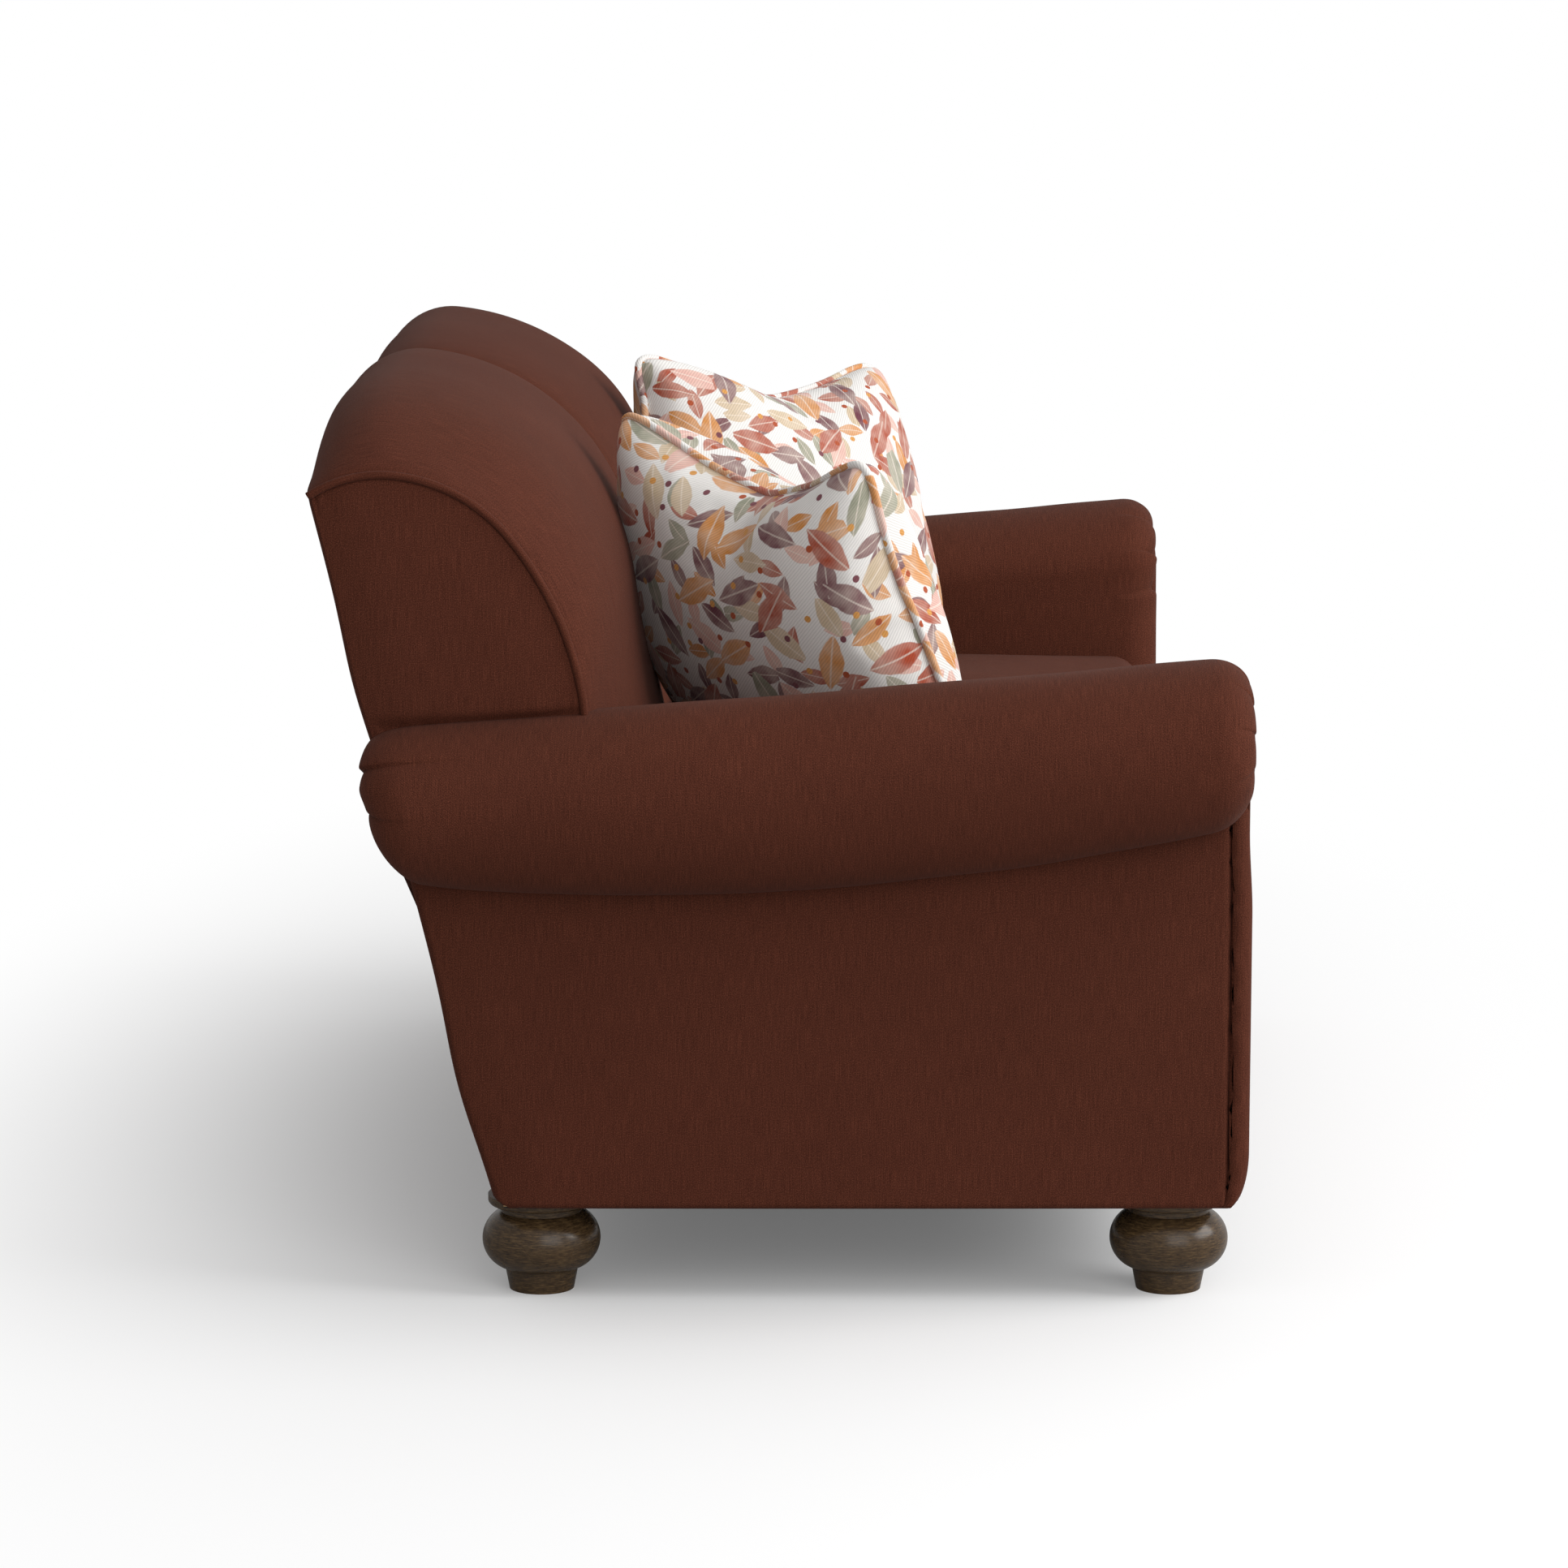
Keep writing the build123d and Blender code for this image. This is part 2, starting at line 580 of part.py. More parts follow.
def back_welt():
    """Cord sewn round the curved edge of the back's end."""
    arcs = [inset_arc(arc, WELT_RADIUS + WELT_CLEARANCE) for arc in back_arcs(FRAME_X + PANEL / 2, 0.0)]
    path = Wire(arcs)
    tube = sweep(Plane(origin=path @ 0, z_dir=path % 0) * Circle(WELT_RADIUS), path=path)
    return tube - arm_space() - outside_back_space()


def make_back():
    save_pair(back_cushion(), "back_cushion")
    save_pair(back_end_panel(), "back_end_panel")
    save_pair(back_welt(), "back_welt")
    pad_front = DECK_PLANE.from_local_coords((0, SEAT_FRONT_SET + SEAT_DEEP + PAD_CLEARANCE, 0)).Y
    pad_low = deck_z(pad_front) + GAP
    pad_high = BACK_BOTTOM - GAP
    pad = [
        (pad_front, pad_low),
        (rear_y(pad_low, CUSHION_INSET), pad_low),
        (rear_y(pad_high, CUSHION_INSET), pad_high),
        (pad_front, pad_high),
    ]
    save(slab(pad, -INNER_X + GAP, INNER_X - GAP), "lower_back_pad")


# Seat
def deck_length():
    rear = rear_y(deck_z(rear_y(DECK_HEIGHT), -DECK), CUSHION_INSET)
    return (rear - SEAM_Y) / cos(radians(SEAT_PITCH))


def spring_path(x, front, rear):
    """Zigzag wire in the deck's own plane: rungs across, joined by tight bends."""
    step = (rear - front) / SPRING_TURNS
    points = []
    for turn in range(SPRING_TURNS + 1):
        side = 1 if turn % 2 == 0 else -1
        y = front + turn * step
        points.append((x - side * SPRING_HALF, y, WIRE_Z))
        points.append((x + side * SPRING_HALF, y, WIRE_Z))
    return FilletPolyline(*points, radius=step * SPRING_BEND)


def spring_clip(x, y):
    """Saddle that holds a spring's last rung to the rail."""
    tall = CLIP_TOP - RAIL_TOP
    saddle = Box(CLIP_WIDE, CLIP_DEEP, tall, align=(Align.CENTER, Align.CENTER, Align.MAX))
    radius = WIRE_RADIUS + WIRE_CLEARANCE
    groove = Rot(0, 90, 0) * Cylinder(radius, CLIP_WIDE)
    groove += Box(CLIP_WIDE, 2 * radius, tall, align=(Align.CENTER, Align.CENTER, Align.MAX))
    return Pos(x, y, CLIP_TOP) * saddle - Pos(x, y, WIRE_Z) * groove


def make_seat_base():
    long = deck_length()
    wide = 2 * (INNER_X - GAP)
    deck = Pos(0, 0, -DECK) * Box(wide, long, DECK, align=(Align.CENTER, Align.MIN, Align.MIN))
    save(DECK_PLANE * deck, "seat_deck")
    front = RAIL / 2
    rear_rail_y = rear_y(deck_z(rear_y(DECK_HEIGHT)), PANEL + POST / 2)
    rear = (rear_rail_y - SEAM_Y) / cos(radians(SEAT_PITCH))
    room = INNER_X - POST_WIDTH / 2
    springs = []
    clips = []
    for index in range(SPRINGS_PER_SEAT):
        x = POST_WIDTH / 2 + room * (index + 0.5) / SPRINGS_PER_SEAT
        for side_x in (-x, x):
            path = spring_path(side_x, front, rear)
            springs.append(sweep(Plane(origin=path @ 0, z_dir=path % 0) * Circle(WIRE_RADIUS), path=path))
            clips.append(spring_clip(side_x, front))
            clips.append(spring_clip(side_x, rear))
    save(DECK_PLANE * Compound(springs), "seat_springs")
    save(DECK_PLANE * Compound(clips), "spring_clips")


def seat_section(along, shrink, margin):
    """Section across a seat cushion, at a distance from its front."""
    middle = SEAT_DEEP / 2
    fullness = 1 - ((along - middle) / middle) ** 2
    half = SEAT_HALF - SEAT_SIDE_SWELL - SEAT_SIDE_DRAW * fullness - shrink * SEAT_SIDE_SHRINK - margin
    low = GAP + margin + shrink * SEAT_UNDER_SHRINK
    high = GAP + SEAT_THICK + SEAT_CROWN_DEEP * fullness - shrink - margin
    crown = high + SEAT_CROWN_WIDE * max(sqrt(fullness), SEAT_CROWN_LEAST)
    swell = half + SEAT_SIDE_SWELL
    waist = (low + high) / 2
    edges = [
        Line((-half, along, low), (half, along, low)),
        ThreePointArc((half, along, low), (swell, along, waist), (half, along, high)),
        ThreePointArc((half, along, high), (0, along, crown), (-half, along, high)),
        ThreePointArc((-half, along, high), (-swell, along, waist), (-half, along, low)),
    ]
    return make_face(edges)


def seat_cushion(margin):
    """A crowned seat cushion in the deck's plane, or its inside at a margin from the face."""
    stations = [(margin + d, shrink) for d, shrink in round_steps(SEAT_FRONT_ROUND)]
    plain_front = SEAT_FRONT_ROUND + margin
    plain_rear = SEAT_DEEP - SEAT_REAR_ROUND - margin
    stations += [(between(plain_front, plain_rear, share), 0.0) for share in LONG_SHARES]
    stations += [(SEAT_DEEP - margin - d, shrink) for d, shrink in reversed(round_steps(SEAT_REAR_ROUND))]
    cushion = loft([seat_section(along, shrink, margin) for along, shrink in stations], ruled=True)
    return DECK_PLANE * Pos(SEAT_CENTER, SEAT_FRONT_SET, 0) * cushion


# Throw pillows
def pillow_outline(wide, tall, draw, dip, corner, z):
    """Square outline with curved sides and round corners; a positive draw or dip pulls a side in."""
    x = wide / 2
    y = tall / 2
    sides = [
        ThreePointArc((-x, -y, z), (0, -y + draw, z), (x, -y, z)),
        ThreePointArc((x, -y, z), (x - draw, 0, z), (x, y, z)),
        ThreePointArc((x, y, z), (0, y - dip, z), (-x, y, z)),
        ThreePointArc((-x, y, z), (-x + draw, 0, z), (-x, -y, z)),
    ]
    outline = Wire(sides)
    return outline.fillet_2d(corner, outline.vertices())


def pillow_half(margin):
    """One face of a pillow, from its seam to the top of its crown."""
    inset = 2 * (PILLOW_WELT_RADIUS + PILLOW_SEAM_CORNER + margin)
    wide = PILLOW_WIDE - inset
    tall = PILLOW_TALL - inset
    welt_room = PILLOW_WELT_RADIUS + PILLOW_WELT_GAP - PILLOW_SEAM_CORNER
    height = PILLOW_THICK / 2 - margin
    sections = []
    for level in PILLOW_LEVELS:
        scale = sqrt(1 - level**PILLOW_FORM)
        seam_share = scale**PILLOW_FADE
        bulge = PILLOW_BULGE * wide * scale * (1 - seam_share)
        draw = (PILLOW_DRAW + welt_room) * seam_share - bulge
        dip = (PILLOW_DIP + welt_room) * seam_share - bulge
        corner = PILLOW_CORNER * scale
        outline = pillow_outline(wide * scale, tall * scale, draw, dip, corner, level * height)
        sections.append(Face(outline))
    return loft(sections)


def pillow_solid(margin):
    half = pillow_half(margin)
    return half + mirror(half, about=Plane.XY)


def pillow_welt():
    inset = 2 * PILLOW_WELT_RADIUS
    corner = PILLOW_CORNER + PILLOW_WELT_RADIUS
    path = pillow_outline(PILLOW_WIDE - inset, PILLOW_TALL - inset, PILLOW_DRAW, PILLOW_DIP, corner, 0)
    return path, sweep(Plane(origin=path @ 0, z_dir=path % 0) * Circle(PILLOW_WELT_RADIUS), path=path)


def pillow_plane(z):
    turn = radians(PILLOW_TURN)
    lean = radians(PILLOW_LEAN)
    facing = (-sin(turn) * cos(lean), -cos(turn) * cos(lean), sin(lean))
    center = (INNER_X - PILLOW_FROM_ARM, FRONT_Y + PILLOW_FROM_FRONT, z)
    return Plane(origin=center, x_dir=(cos(turn), -sin(turn), 0), z_dir=facing) * Rot(0, 0, -PILLOW_ROLL)


def surface_height(faces, x, y):
    upwards = Axis((x, y, 0), (0, 0, 1))
    return max(point.Z for face in faces for point, normal in face.find_intersection_points(upwards))


def resting_plane(path, cushion):
    """The pillow's place, lowered until its welt lies on the seat cushion."""
    start = BACK_EDGE_HEIGHT
    placed = pillow_plane(start) * path
    faces = [face for face in cushion.faces() if face.normal_at().Z > UPWARD]
    samples = [placed @ (step / WELT_SAMPLES) for step in range(WELT_SAMPLES)]
    low = sorted(samples, key=lambda point: point.Z)[:LOWEST_SAMPLES]
    drop = min(point.Z - PILLOW_WELT_RADIUS - surface_height(faces, point.X, point.Y) for point in low)
    return pillow_plane(start - drop + GAP)


def make_cushions():
    cushion = seat_cushion(0.0)
    save_pair(cushion - seat_cushion(SEAT_COVER), "seat_cover")
    save_pair(seat_cushion(SEAT_COVER + GAP), "seat_core")
    path, welt = pillow_welt()
    place = resting_plane(path, cushion)
    cover = pillow_solid(0.0) - pillow_solid(PILLOW_COVER)
    save_pair(place * cover, "pillow_cover")
    save_pair(place * pillow_solid(PILLOW_COVER + GAP), "pillow_insert")
    save_pair(place * welt, "pillow_welt")


make_feet()
make_foot_blocks()
make_base_rails()
make_back_frame()
make_arm_frame()
make_arm_covers()
make_base_covers()
make_back()
make_seat_base()
make_cushions()
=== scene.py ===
from math import atan2, cos, pi, radians, sin

import bmesh
import bpy
import numpy as np
from mathutils import Matrix, Vector, noise


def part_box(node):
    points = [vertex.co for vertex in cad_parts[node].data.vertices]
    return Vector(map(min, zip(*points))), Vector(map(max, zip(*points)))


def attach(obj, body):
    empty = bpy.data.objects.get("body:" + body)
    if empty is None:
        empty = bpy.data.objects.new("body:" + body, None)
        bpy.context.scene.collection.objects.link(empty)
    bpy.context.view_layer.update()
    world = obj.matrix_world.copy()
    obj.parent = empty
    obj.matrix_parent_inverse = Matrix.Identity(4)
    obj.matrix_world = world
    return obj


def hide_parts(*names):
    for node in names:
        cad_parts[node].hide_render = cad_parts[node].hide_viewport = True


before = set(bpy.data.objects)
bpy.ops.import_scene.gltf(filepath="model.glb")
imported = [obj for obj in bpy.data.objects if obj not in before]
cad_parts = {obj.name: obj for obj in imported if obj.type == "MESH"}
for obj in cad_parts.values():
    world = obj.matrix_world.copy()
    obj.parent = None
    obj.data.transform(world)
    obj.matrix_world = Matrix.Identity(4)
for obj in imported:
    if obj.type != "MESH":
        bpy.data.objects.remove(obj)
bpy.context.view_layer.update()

# Loveseat with rolled, pleated arms. Metres: X along the seat, Y to the rear, Z up, floor at Z 0.
# The right-hand pieces are described, and the left-hand ones are their mirror images.
SIDES = {"right": 1.0, "left": -1.0}

# Main planes and lines
FRONT_Y = -0.488  # fronts of the arms
SEAM_Y = -0.466  # where the padding of the front starts
OUTER_X = 0.775  # outside arm panels
INNER_X = 0.630  # inner faces of the arms
END_X = 0.767  # ends of the back cushions
BASE_Z = 0.102  # underside of the base
SEAT_PITCH = radians(1.5)
DECK_Z = 0.326  # seat deck at the front
CORNER_Y = 0.485  # rear top corner of the back
CORNER_Z = 0.849
BACK_SLOPE = 0.2512
BACK_FOOT_Z = 0.503  # underside of the back cushions
SHELF_Z = 0.846  # top of the outside back

# Padding of the outside back
REAR_PAD_UPPER = 0.005
UPPER_PAD_Z = 0.65
UPPER_PAD_SPREAD = 0.07
REAR_PAD_LOWER = 0.007
LOWER_PAD_Z = 0.23
LOWER_PAD_SPREAD = 0.08

# Rolled arms
ARM_TOP = 0.6787  # at the front
ARM_FALL = 0.0780  # per metre to the rear
ARM_SAG = 0.003
ROLL_X = 0.865  # outermost line
CROWN_X = 0.755  # highest line
SHOULDER_DROP = 0.078  # from the highest line down to the upright inner face
ROLL_FRONT_Y = -0.4842
ROLL_REAR_Y = 0.432
ROLL_FRONT_ROUND = 0.034
ROLL_FRONT_LONG = 0.042
ROLL_REAR_ROUND = 0.052
ROLL_LOW = 0.435  # lowest point of the underside
ROLL_LOW_Y = 0.147
ROLL_LOW_RUN = 0.635  # from that point to the front
ROLL_LOW_RISE = 0.0756  # over that run

scene = bpy.context.scene


# Surfaces that several pieces share
def arm_top(y):
    share = np.clip((y - FRONT_Y) / (ROLL_REAR_Y - FRONT_Y), 0, 1)
    return ARM_TOP - (y - FRONT_Y) * ARM_FALL - ARM_SAG * np.sin(pi * share)


def arm_surface(x, y):
    """Height of the right arm's cover at a place on its inner half."""
    share = np.clip((CROWN_X - x) / (CROWN_X - INNER_X), 0, 1)
    return float(arm_top(y)) - SHOULDER_DROP * (1 - np.sqrt(1 - share**2))


def roll_low(y):
    return ROLL_LOW + ROLL_LOW_RISE * ((ROLL_LOW_Y - y) / ROLL_LOW_RUN) ** 2


def rear_y(z):
    return CORNER_Y - (CORNER_Z - z) * BACK_SLOPE


def padded_rear(z):
    """The rear face with its padding, which is fullest above the arms and low down."""
    upper = REAR_PAD_UPPER * np.exp(-(((z - UPPER_PAD_Z) / UPPER_PAD_SPREAD) ** 2))
    lower = REAR_PAD_LOWER * np.exp(-(((z - LOWER_PAD_Z) / LOWER_PAD_SPREAD) ** 2))
    return rear_y(z) + upper + lower


def deck_z(y):
    return DECK_Z - (y - SEAM_Y) * np.tan(SEAT_PITCH)


# Curves and runs
def smooth_step(value, low, high):
    share = np.clip((value - low) / (high - low), 0, 1)
    return share * share * (3 - 2 * share)


def nearness(gap, reach):
    """1 at a place, falling to 0 at a reach from it."""
    return np.clip(1 - gap / reach, 0, 1)


def edge_fall(distance, radius):
    """How far a rounded edge falls away at a distance from it."""
    inside = np.clip(radius - distance, 0, radius)
    return radius - np.sqrt(radius**2 - inside**2)


def eased(count, low=0.0, high=1.0):
    """Values from low to high that lie closer together at both ends."""
    steps = np.linspace(0, 1, count)
    return low + (high - low) * (0.5 * steps + 0.5 * (0.5 - 0.5 * np.cos(pi * steps)))


def run_length(points):
    return np.concatenate([[0], np.cumsum(np.linalg.norm(np.diff(points, axis=0), axis=1))])


def resample(points, count):
    length = run_length(points)
    wanted = np.linspace(0, length[-1], count)
    return np.column_stack([np.interp(wanted, length, points[:, axis]) for axis in range(points.shape[1])])


def outward(points):
    ahead = np.gradient(points, axis=0)
    ahead /= np.linalg.norm(ahead, axis=1)[:, None]
    return np.stack([-ahead[:, 1], ahead[:, 0]], axis=1)


def turned(vector, angle):
    across, along = vector
    return np.array((across * cos(angle) - along * sin(angle), across * sin(angle) + along * cos(angle)))


def ellipse_run(center, start, end, count):
    """Points of a quarter ellipse about a centre, without its first point."""
    center, start, end = (np.array(value) for value in (center, start, end))
    angles = np.linspace(0, pi / 2, count + 1)[1:]
    return [center + (start - center) * cos(a) + (end - center) * sin(a) for a in angles]


def arc_run(start, tangent, end, count):
    """Points of the arc that leaves start along a tangent and reaches end, and the tangent at its end."""
    chord = end - start
    half = atan2(tangent[0] * chord[1] - tangent[1] * chord[0], tangent @ chord)
    reach = np.linalg.norm(chord)
    points = []
    for share in np.linspace(0, 1, count + 1)[1:]:
        length = reach * (sin(share * half) / sin(half) if abs(half) > 1e-6 else share)
        points.append(start + turned(tangent, share * half) * length)
    return points, turned(tangent, 2 * half)


def first_tangent(start, middle, end):
    """Direction in which the arc through three points leaves the first one."""
    chord = (end - start) / np.linalg.norm(end - start)
    one = start - middle
    two = end - middle
    inscribed = abs(atan2(one[0] * two[1] - one[1] * two[0], one @ two))
    left = chord[0] * (middle - start)[1] - chord[1] * (middle - start)[0]
    return turned(chord, (pi - inscribed) * (1 if left > 0 else -1))


def corner_run(x, z, radius, start, count=10):
    """Points round a corner with its centre at x, z."""
    angles = np.linspace(start, start + pi / 2, count)
    return [(x + radius * cos(a), z + radius * sin(a)) for a in angles]


def inset(outline, distance):
    """A closed outline moved inwards, with mitred corners. It runs anticlockwise."""
    outline = np.array(outline, dtype=float)
    edges = np.roll(outline, -1, axis=0) - outline
    edges /= np.linalg.norm(edges, axis=1)[:, None]
    normals = np.stack([-edges[:, 1], edges[:, 0]], axis=1)
    before = np.roll(normals, 1, axis=0)
    mitre = (normals + before) / (1.0 + (normals * before).sum(axis=1))[:, None]
    return outline + mitre * distance


def densify(corners, step):
    """A closed outline with extra points along its straight runs."""
    points = []
    for start, end in zip(corners, corners[1:] + corners[:1]):
        start = np.array(start, dtype=float)
        end = np.array(end, dtype=float)
        count = max(1, int(np.linalg.norm(end - start) / step))
        points += [start + (end - start) * index / count for index in range(count)]
    return np.array(points)


def cloth_run(grid, axis):
    """Distance along the cloth from the middle of a grid of points, row by row or column by column."""
    steps = np.linalg.norm(np.diff(grid, axis=axis), axis=2)
    run = np.insert(np.cumsum(steps, axis=axis), 0, 0.0, axis=axis)
    middle = np.take(run, [grid.shape[axis] // 2], axis=axis)
    return run - middle


def point_grid(point, rows, columns):
    """A grid of points from a function of two values."""
    return np.array([[point(row, column) for column in columns] for row in rows])


def ripple(points, amount, size, seed):
    """Soft unevenness: each point is moved by a smooth, repeatable amount."""
    noise.seed_set(seed)
    moved = points.copy()
    flat = moved.reshape(-1, 3)
    for index, point in enumerate(flat):
        flat[index] = point + amount * np.array(noise.noise_vector(Vector(point) / size))
    return moved


# Material helpers
def set_inputs(tree, node, inputs):
    """Links each input to a socket or sets it to a plain value. None leaves it as it is."""
    for name, value in inputs.items():
        if isinstance(value, bpy.types.NodeSocket):
            tree.links.new(value, node.inputs[name])
        elif value is not None:
            node.inputs[name].default_value = value


def new_node(tree, kind, inputs, **settings):
    node = tree.nodes.new(f"ShaderNode{kind}")
    for name, value in settings.items():
        setattr(node, name, value)
    set_inputs(tree, node, inputs)
    return node


def new_material(name, roughness, specular=0.5):
    material = bpy.data.materials.new(name)
    material.use_nodes = True
    tree = material.node_tree
    shader = tree.nodes["Principled BSDF"]
    set_inputs(tree, shader, {"Roughness": roughness, "Specular IOR Level": specular})
    return material, tree, shader


def calc(tree, operation, first, second=0.0):
    return new_node(tree, "Math", {0: first, 1: second}, operation=operation).outputs[0]


def vector_calc(tree, operation, first, second=None, scale=None):
    node = new_node(tree, "VectorMath", {0: first, 1: second, "Scale": scale}, operation=operation)
    return node.outputs["Value" if operation == "LENGTH" else "Vector"]


def noise_value(tree, vector, scale, detail=2.0, roughness=0.5):
    inputs = {"Vector": vector, "Scale": scale, "Detail": detail, "Roughness": roughness}
    return new_node(tree, "TexNoise", inputs).outputs[0]


def twill_ribs(tree, vector, scale, distortion, detail):
    """Diagonal ribs of a twill weave."""
    inputs = {"Vector": vector, "Scale": scale, "Distortion": distortion, "Detail": detail}
    return new_node(tree, "TexWave", inputs, bands_direction="DIAGONAL").outputs["Fac"]


def ramp(tree, value, stops, interpolation="LINEAR"):
    node = new_node(tree, "ValToRGB", {0: value})
    node.color_ramp.interpolation = interpolation
    elements = node.color_ramp.elements
    while len(elements) < len(stops):
        elements.new(0.5)
    for element, (position, tone) in zip(elements, stops):
        element.position = position
        element.color = tone
    return node.outputs[0]


def grey_ramp(tree, value, low, high, start=0.0, end=1.0):
    """A plain number that runs from start to end while the value runs from low to high."""
    inputs = {"Value": value, "From Min": low, "From Max": high, "To Min": start, "To Max": end}
    return new_node(tree, "MapRange", inputs).outputs[0]


def mix(tree, factor, first, second):
    return new_node(tree, "Mix", {0: factor, 6: first, 7: second}, data_type="RGBA").outputs[2]


def bump(tree, height, distance, strength, normal=None):
    inputs = {"Height": height, "Distance": distance, "Strength": strength, "Normal": normal}
    return new_node(tree, "Bump", inputs).outputs[0]


def color(red, green, blue):
    """An sRGB colour, 0 to 255, as linear RGBA."""
    linear = []
    for value in (red, green, blue):
        share = value / 255
        linear.append(share / 12.92 if share <= 0.04045 else ((share + 0.055) / 1.055) ** 2.4)
    return (*linear, 1.0)


def grey(value):
    return (value, value, value, 1.0)


def cloth_coordinates(tree):
    """Coordinates in the cloth, in metres: across its width and along its length."""
    return tree.nodes.new("ShaderNodeTexCoord").outputs["UV"]


def object_coordinates(tree):
    """Coordinates in the piece, in metres."""
    return tree.nodes.new("ShaderNodeTexCoord").outputs["Object"]


def stretched(tree, vector, across, along, up=1.0):
    return vector_calc(tree, "MULTIPLY", vector, (across, along, up))


# Upholstery: cells of its yarns per metre, across and along, and their tones
SLUBS = (1150, 34)
THREADS = (1050, 860)
TWILL_SCALE = 210.0
YARN_TONES = [(0.3, color(58, 26, 16)), (0.5, color(80, 41, 29)), (0.72, color(108, 58, 42))]
CROSS_TONES = [(0.3, color(34, 13, 7)), (0.5, color(78, 40, 28)), (0.7, color(120, 69, 52))]
CROSS_SHARE = 0.62
BLOOM = color(205, 190, 184)


def upholstery_material():
    """Red-brown twill with fine lengthwise slubs and a faint greyish bloom."""
    material, tree, shader = new_material("upholstery", 0.88, 0.08)
    cloth = cloth_coordinates(tree)
    slubs = noise_value(tree, stretched(tree, cloth, *SLUBS), 1.0, 2.0, 0.6)
    threads = noise_value(tree, stretched(tree, cloth, *THREADS), 1.0, 2.0, 0.65)
    patches = noise_value(tree, cloth, 5.0, 3.0, 0.55)
    ribs = twill_ribs(tree, cloth, TWILL_SCALE, 1.2, 1.0)
    woven = mix(tree, CROSS_SHARE, ramp(tree, slubs, YARN_TONES), ramp(tree, threads, CROSS_TONES))
    shade = grey_ramp(tree, patches, 0.25, 0.75, 0.92, 1.06)
    yarn_height = calc(tree, "ADD", calc(tree, "MULTIPLY", slubs, 0.6), calc(tree, "MULTIPLY", threads, 0.4))
    height = calc(tree, "ADD", yarn_height, calc(tree, "MULTIPLY", ribs, 0.22))
    rumple = bump(tree, patches, 0.008, 0.3)
    set_inputs(tree, shader, {
        "Base Color": vector_calc(tree, "SCALE", woven, scale=shade),
        "Roughness": grey_ramp(tree, threads, 0.2, 0.8, 0.80, 0.92),
        "Normal": bump(tree, height, 0.0006, 0.7, rumple),
        "Sheen Weight": 0.05,
        "Sheen Roughness": 0.4,
        "Sheen Tint": BLOOM,
    })
    return material


# Stained wood of the feet: cells of its grain and pores per metre, and their tones
GRAIN = (85.0, 85.0, 760.0)
PORES = (240.0, 240.0, 900.0)
GRAIN_TONES = [(0.36, color(46, 33, 21)), (0.5, color(70, 53, 34)), (0.66, color(108, 85, 56))]
PORE_TONES = [(0.36, color(32, 23, 14)), (0.6, color(86, 66, 43))]


def stained_wood_material():
    """Dark grey-brown stained hardwood, satin, with fine open grain."""
    material, tree, shader = new_material("stained_wood", 0.26, 0.36)
    place = object_coordinates(tree)
    grain = noise_value(tree, stretched(tree, place, *GRAIN), 1.0, 4.0, 0.65)
    pores = noise_value(tree, stretched(tree, place, *PORES), 1.0)
    wear = noise_value(tree, place, 14.0, 3.0)
    set_inputs(tree, shader, {
        "Base Color": mix(tree, 0.35, ramp(tree, grain, GRAIN_TONES), ramp(tree, pores, PORE_TONES)),
        "Roughness": grey_ramp(tree, wear, 0.3, 0.7, 0.20, 0.32),
        "Normal": bump(tree, grain, 0.0002, 0.4),
    })
    return material


def two_tone_material(name, finish, cells, detail, tones, relief):
    """A plain material whose two tones and relief follow one stretched grain."""
    material, tree, shader = new_material(name, *finish)
    grain = noise_value(tree, stretched(tree, object_coordinates(tree), *cells), 1.0, detail)
    dark, light = tones
    tone = ramp(tree, grain, [(0.3, dark), (0.7, light)])
    set_inputs(tree, shader, {"Base Color": tone, "Normal": bump(tree, grain, *relief)})
    return material, tree, shader, grain


def frame_wood_material():
    """Pale plain softwood of the hidden frame."""
    tones = (color(176, 138, 92), color(205, 172, 126))
    return two_tone_material("frame_wood", (0.65, 0.5), (6.0, 60.0, 60.0), 4.0, tones, (0.0006, 0.4))[0]


def lining_material():
    """Thin dark lining cloth and webbing."""
    tones = (color(26, 24, 23), color(48, 45, 43))
    return two_tone_material("lining", (0.9, 0.2), (900.0, 260.0, 260.0), 3.0, tones, (0.0005, 0.5))[0]


def steel_material():
    """Plain steel with light scuffs."""
    tones = (color(112, 112, 114), color(160, 160, 162))
    parts = two_tone_material("steel", (0.38, 0.5), (180.0, 180.0, 180.0), 3.0, tones, (0.0002, 0.3))
    material, tree, shader, scuffs = parts
    worn = grey_ramp(tree, scuffs, 0.3, 0.7, 0.3, 0.5)
    set_inputs(tree, shader, {"Roughness": worn, "Metallic": 1.0})
    return material


# Print of the pillows
PRINT_GROUND = color(238, 235, 231)
WASH = color(240, 226, 212)
RIB = color(244, 232, 220)
LEAF_COLORS = [
    (0.0, color(172, 72, 44)),
    (0.2, color(214, 140, 62)),
    (0.4, color(112, 58, 70)),
    (0.56, color(226, 178, 166)),
    (0.72, color(150, 152, 132)),
    (0.86, color(206, 184, 152)),
]
BERRY_COLORS = [(0.0, color(178, 84, 50)), (0.45, color(218, 156, 84)), (0.75, color(128, 76, 84))]
# Layers of leaves, lowest first: cells per metre, half length, scatter and shift
LEAF_LAYERS = ((24.0, 0.021, 0.75, 0.31), (18.0, 0.027, 0.7, 0.83), (15.0, 0.034, 0.6, 0.0))
LEAF_SLIM = 2.3  # length over width
BERRY_CELLS = 34.0
BERRY_RADIUS = (0.0034, 0.0042)
BERRY_SKIP = 0.62  # share of the cells without a berry


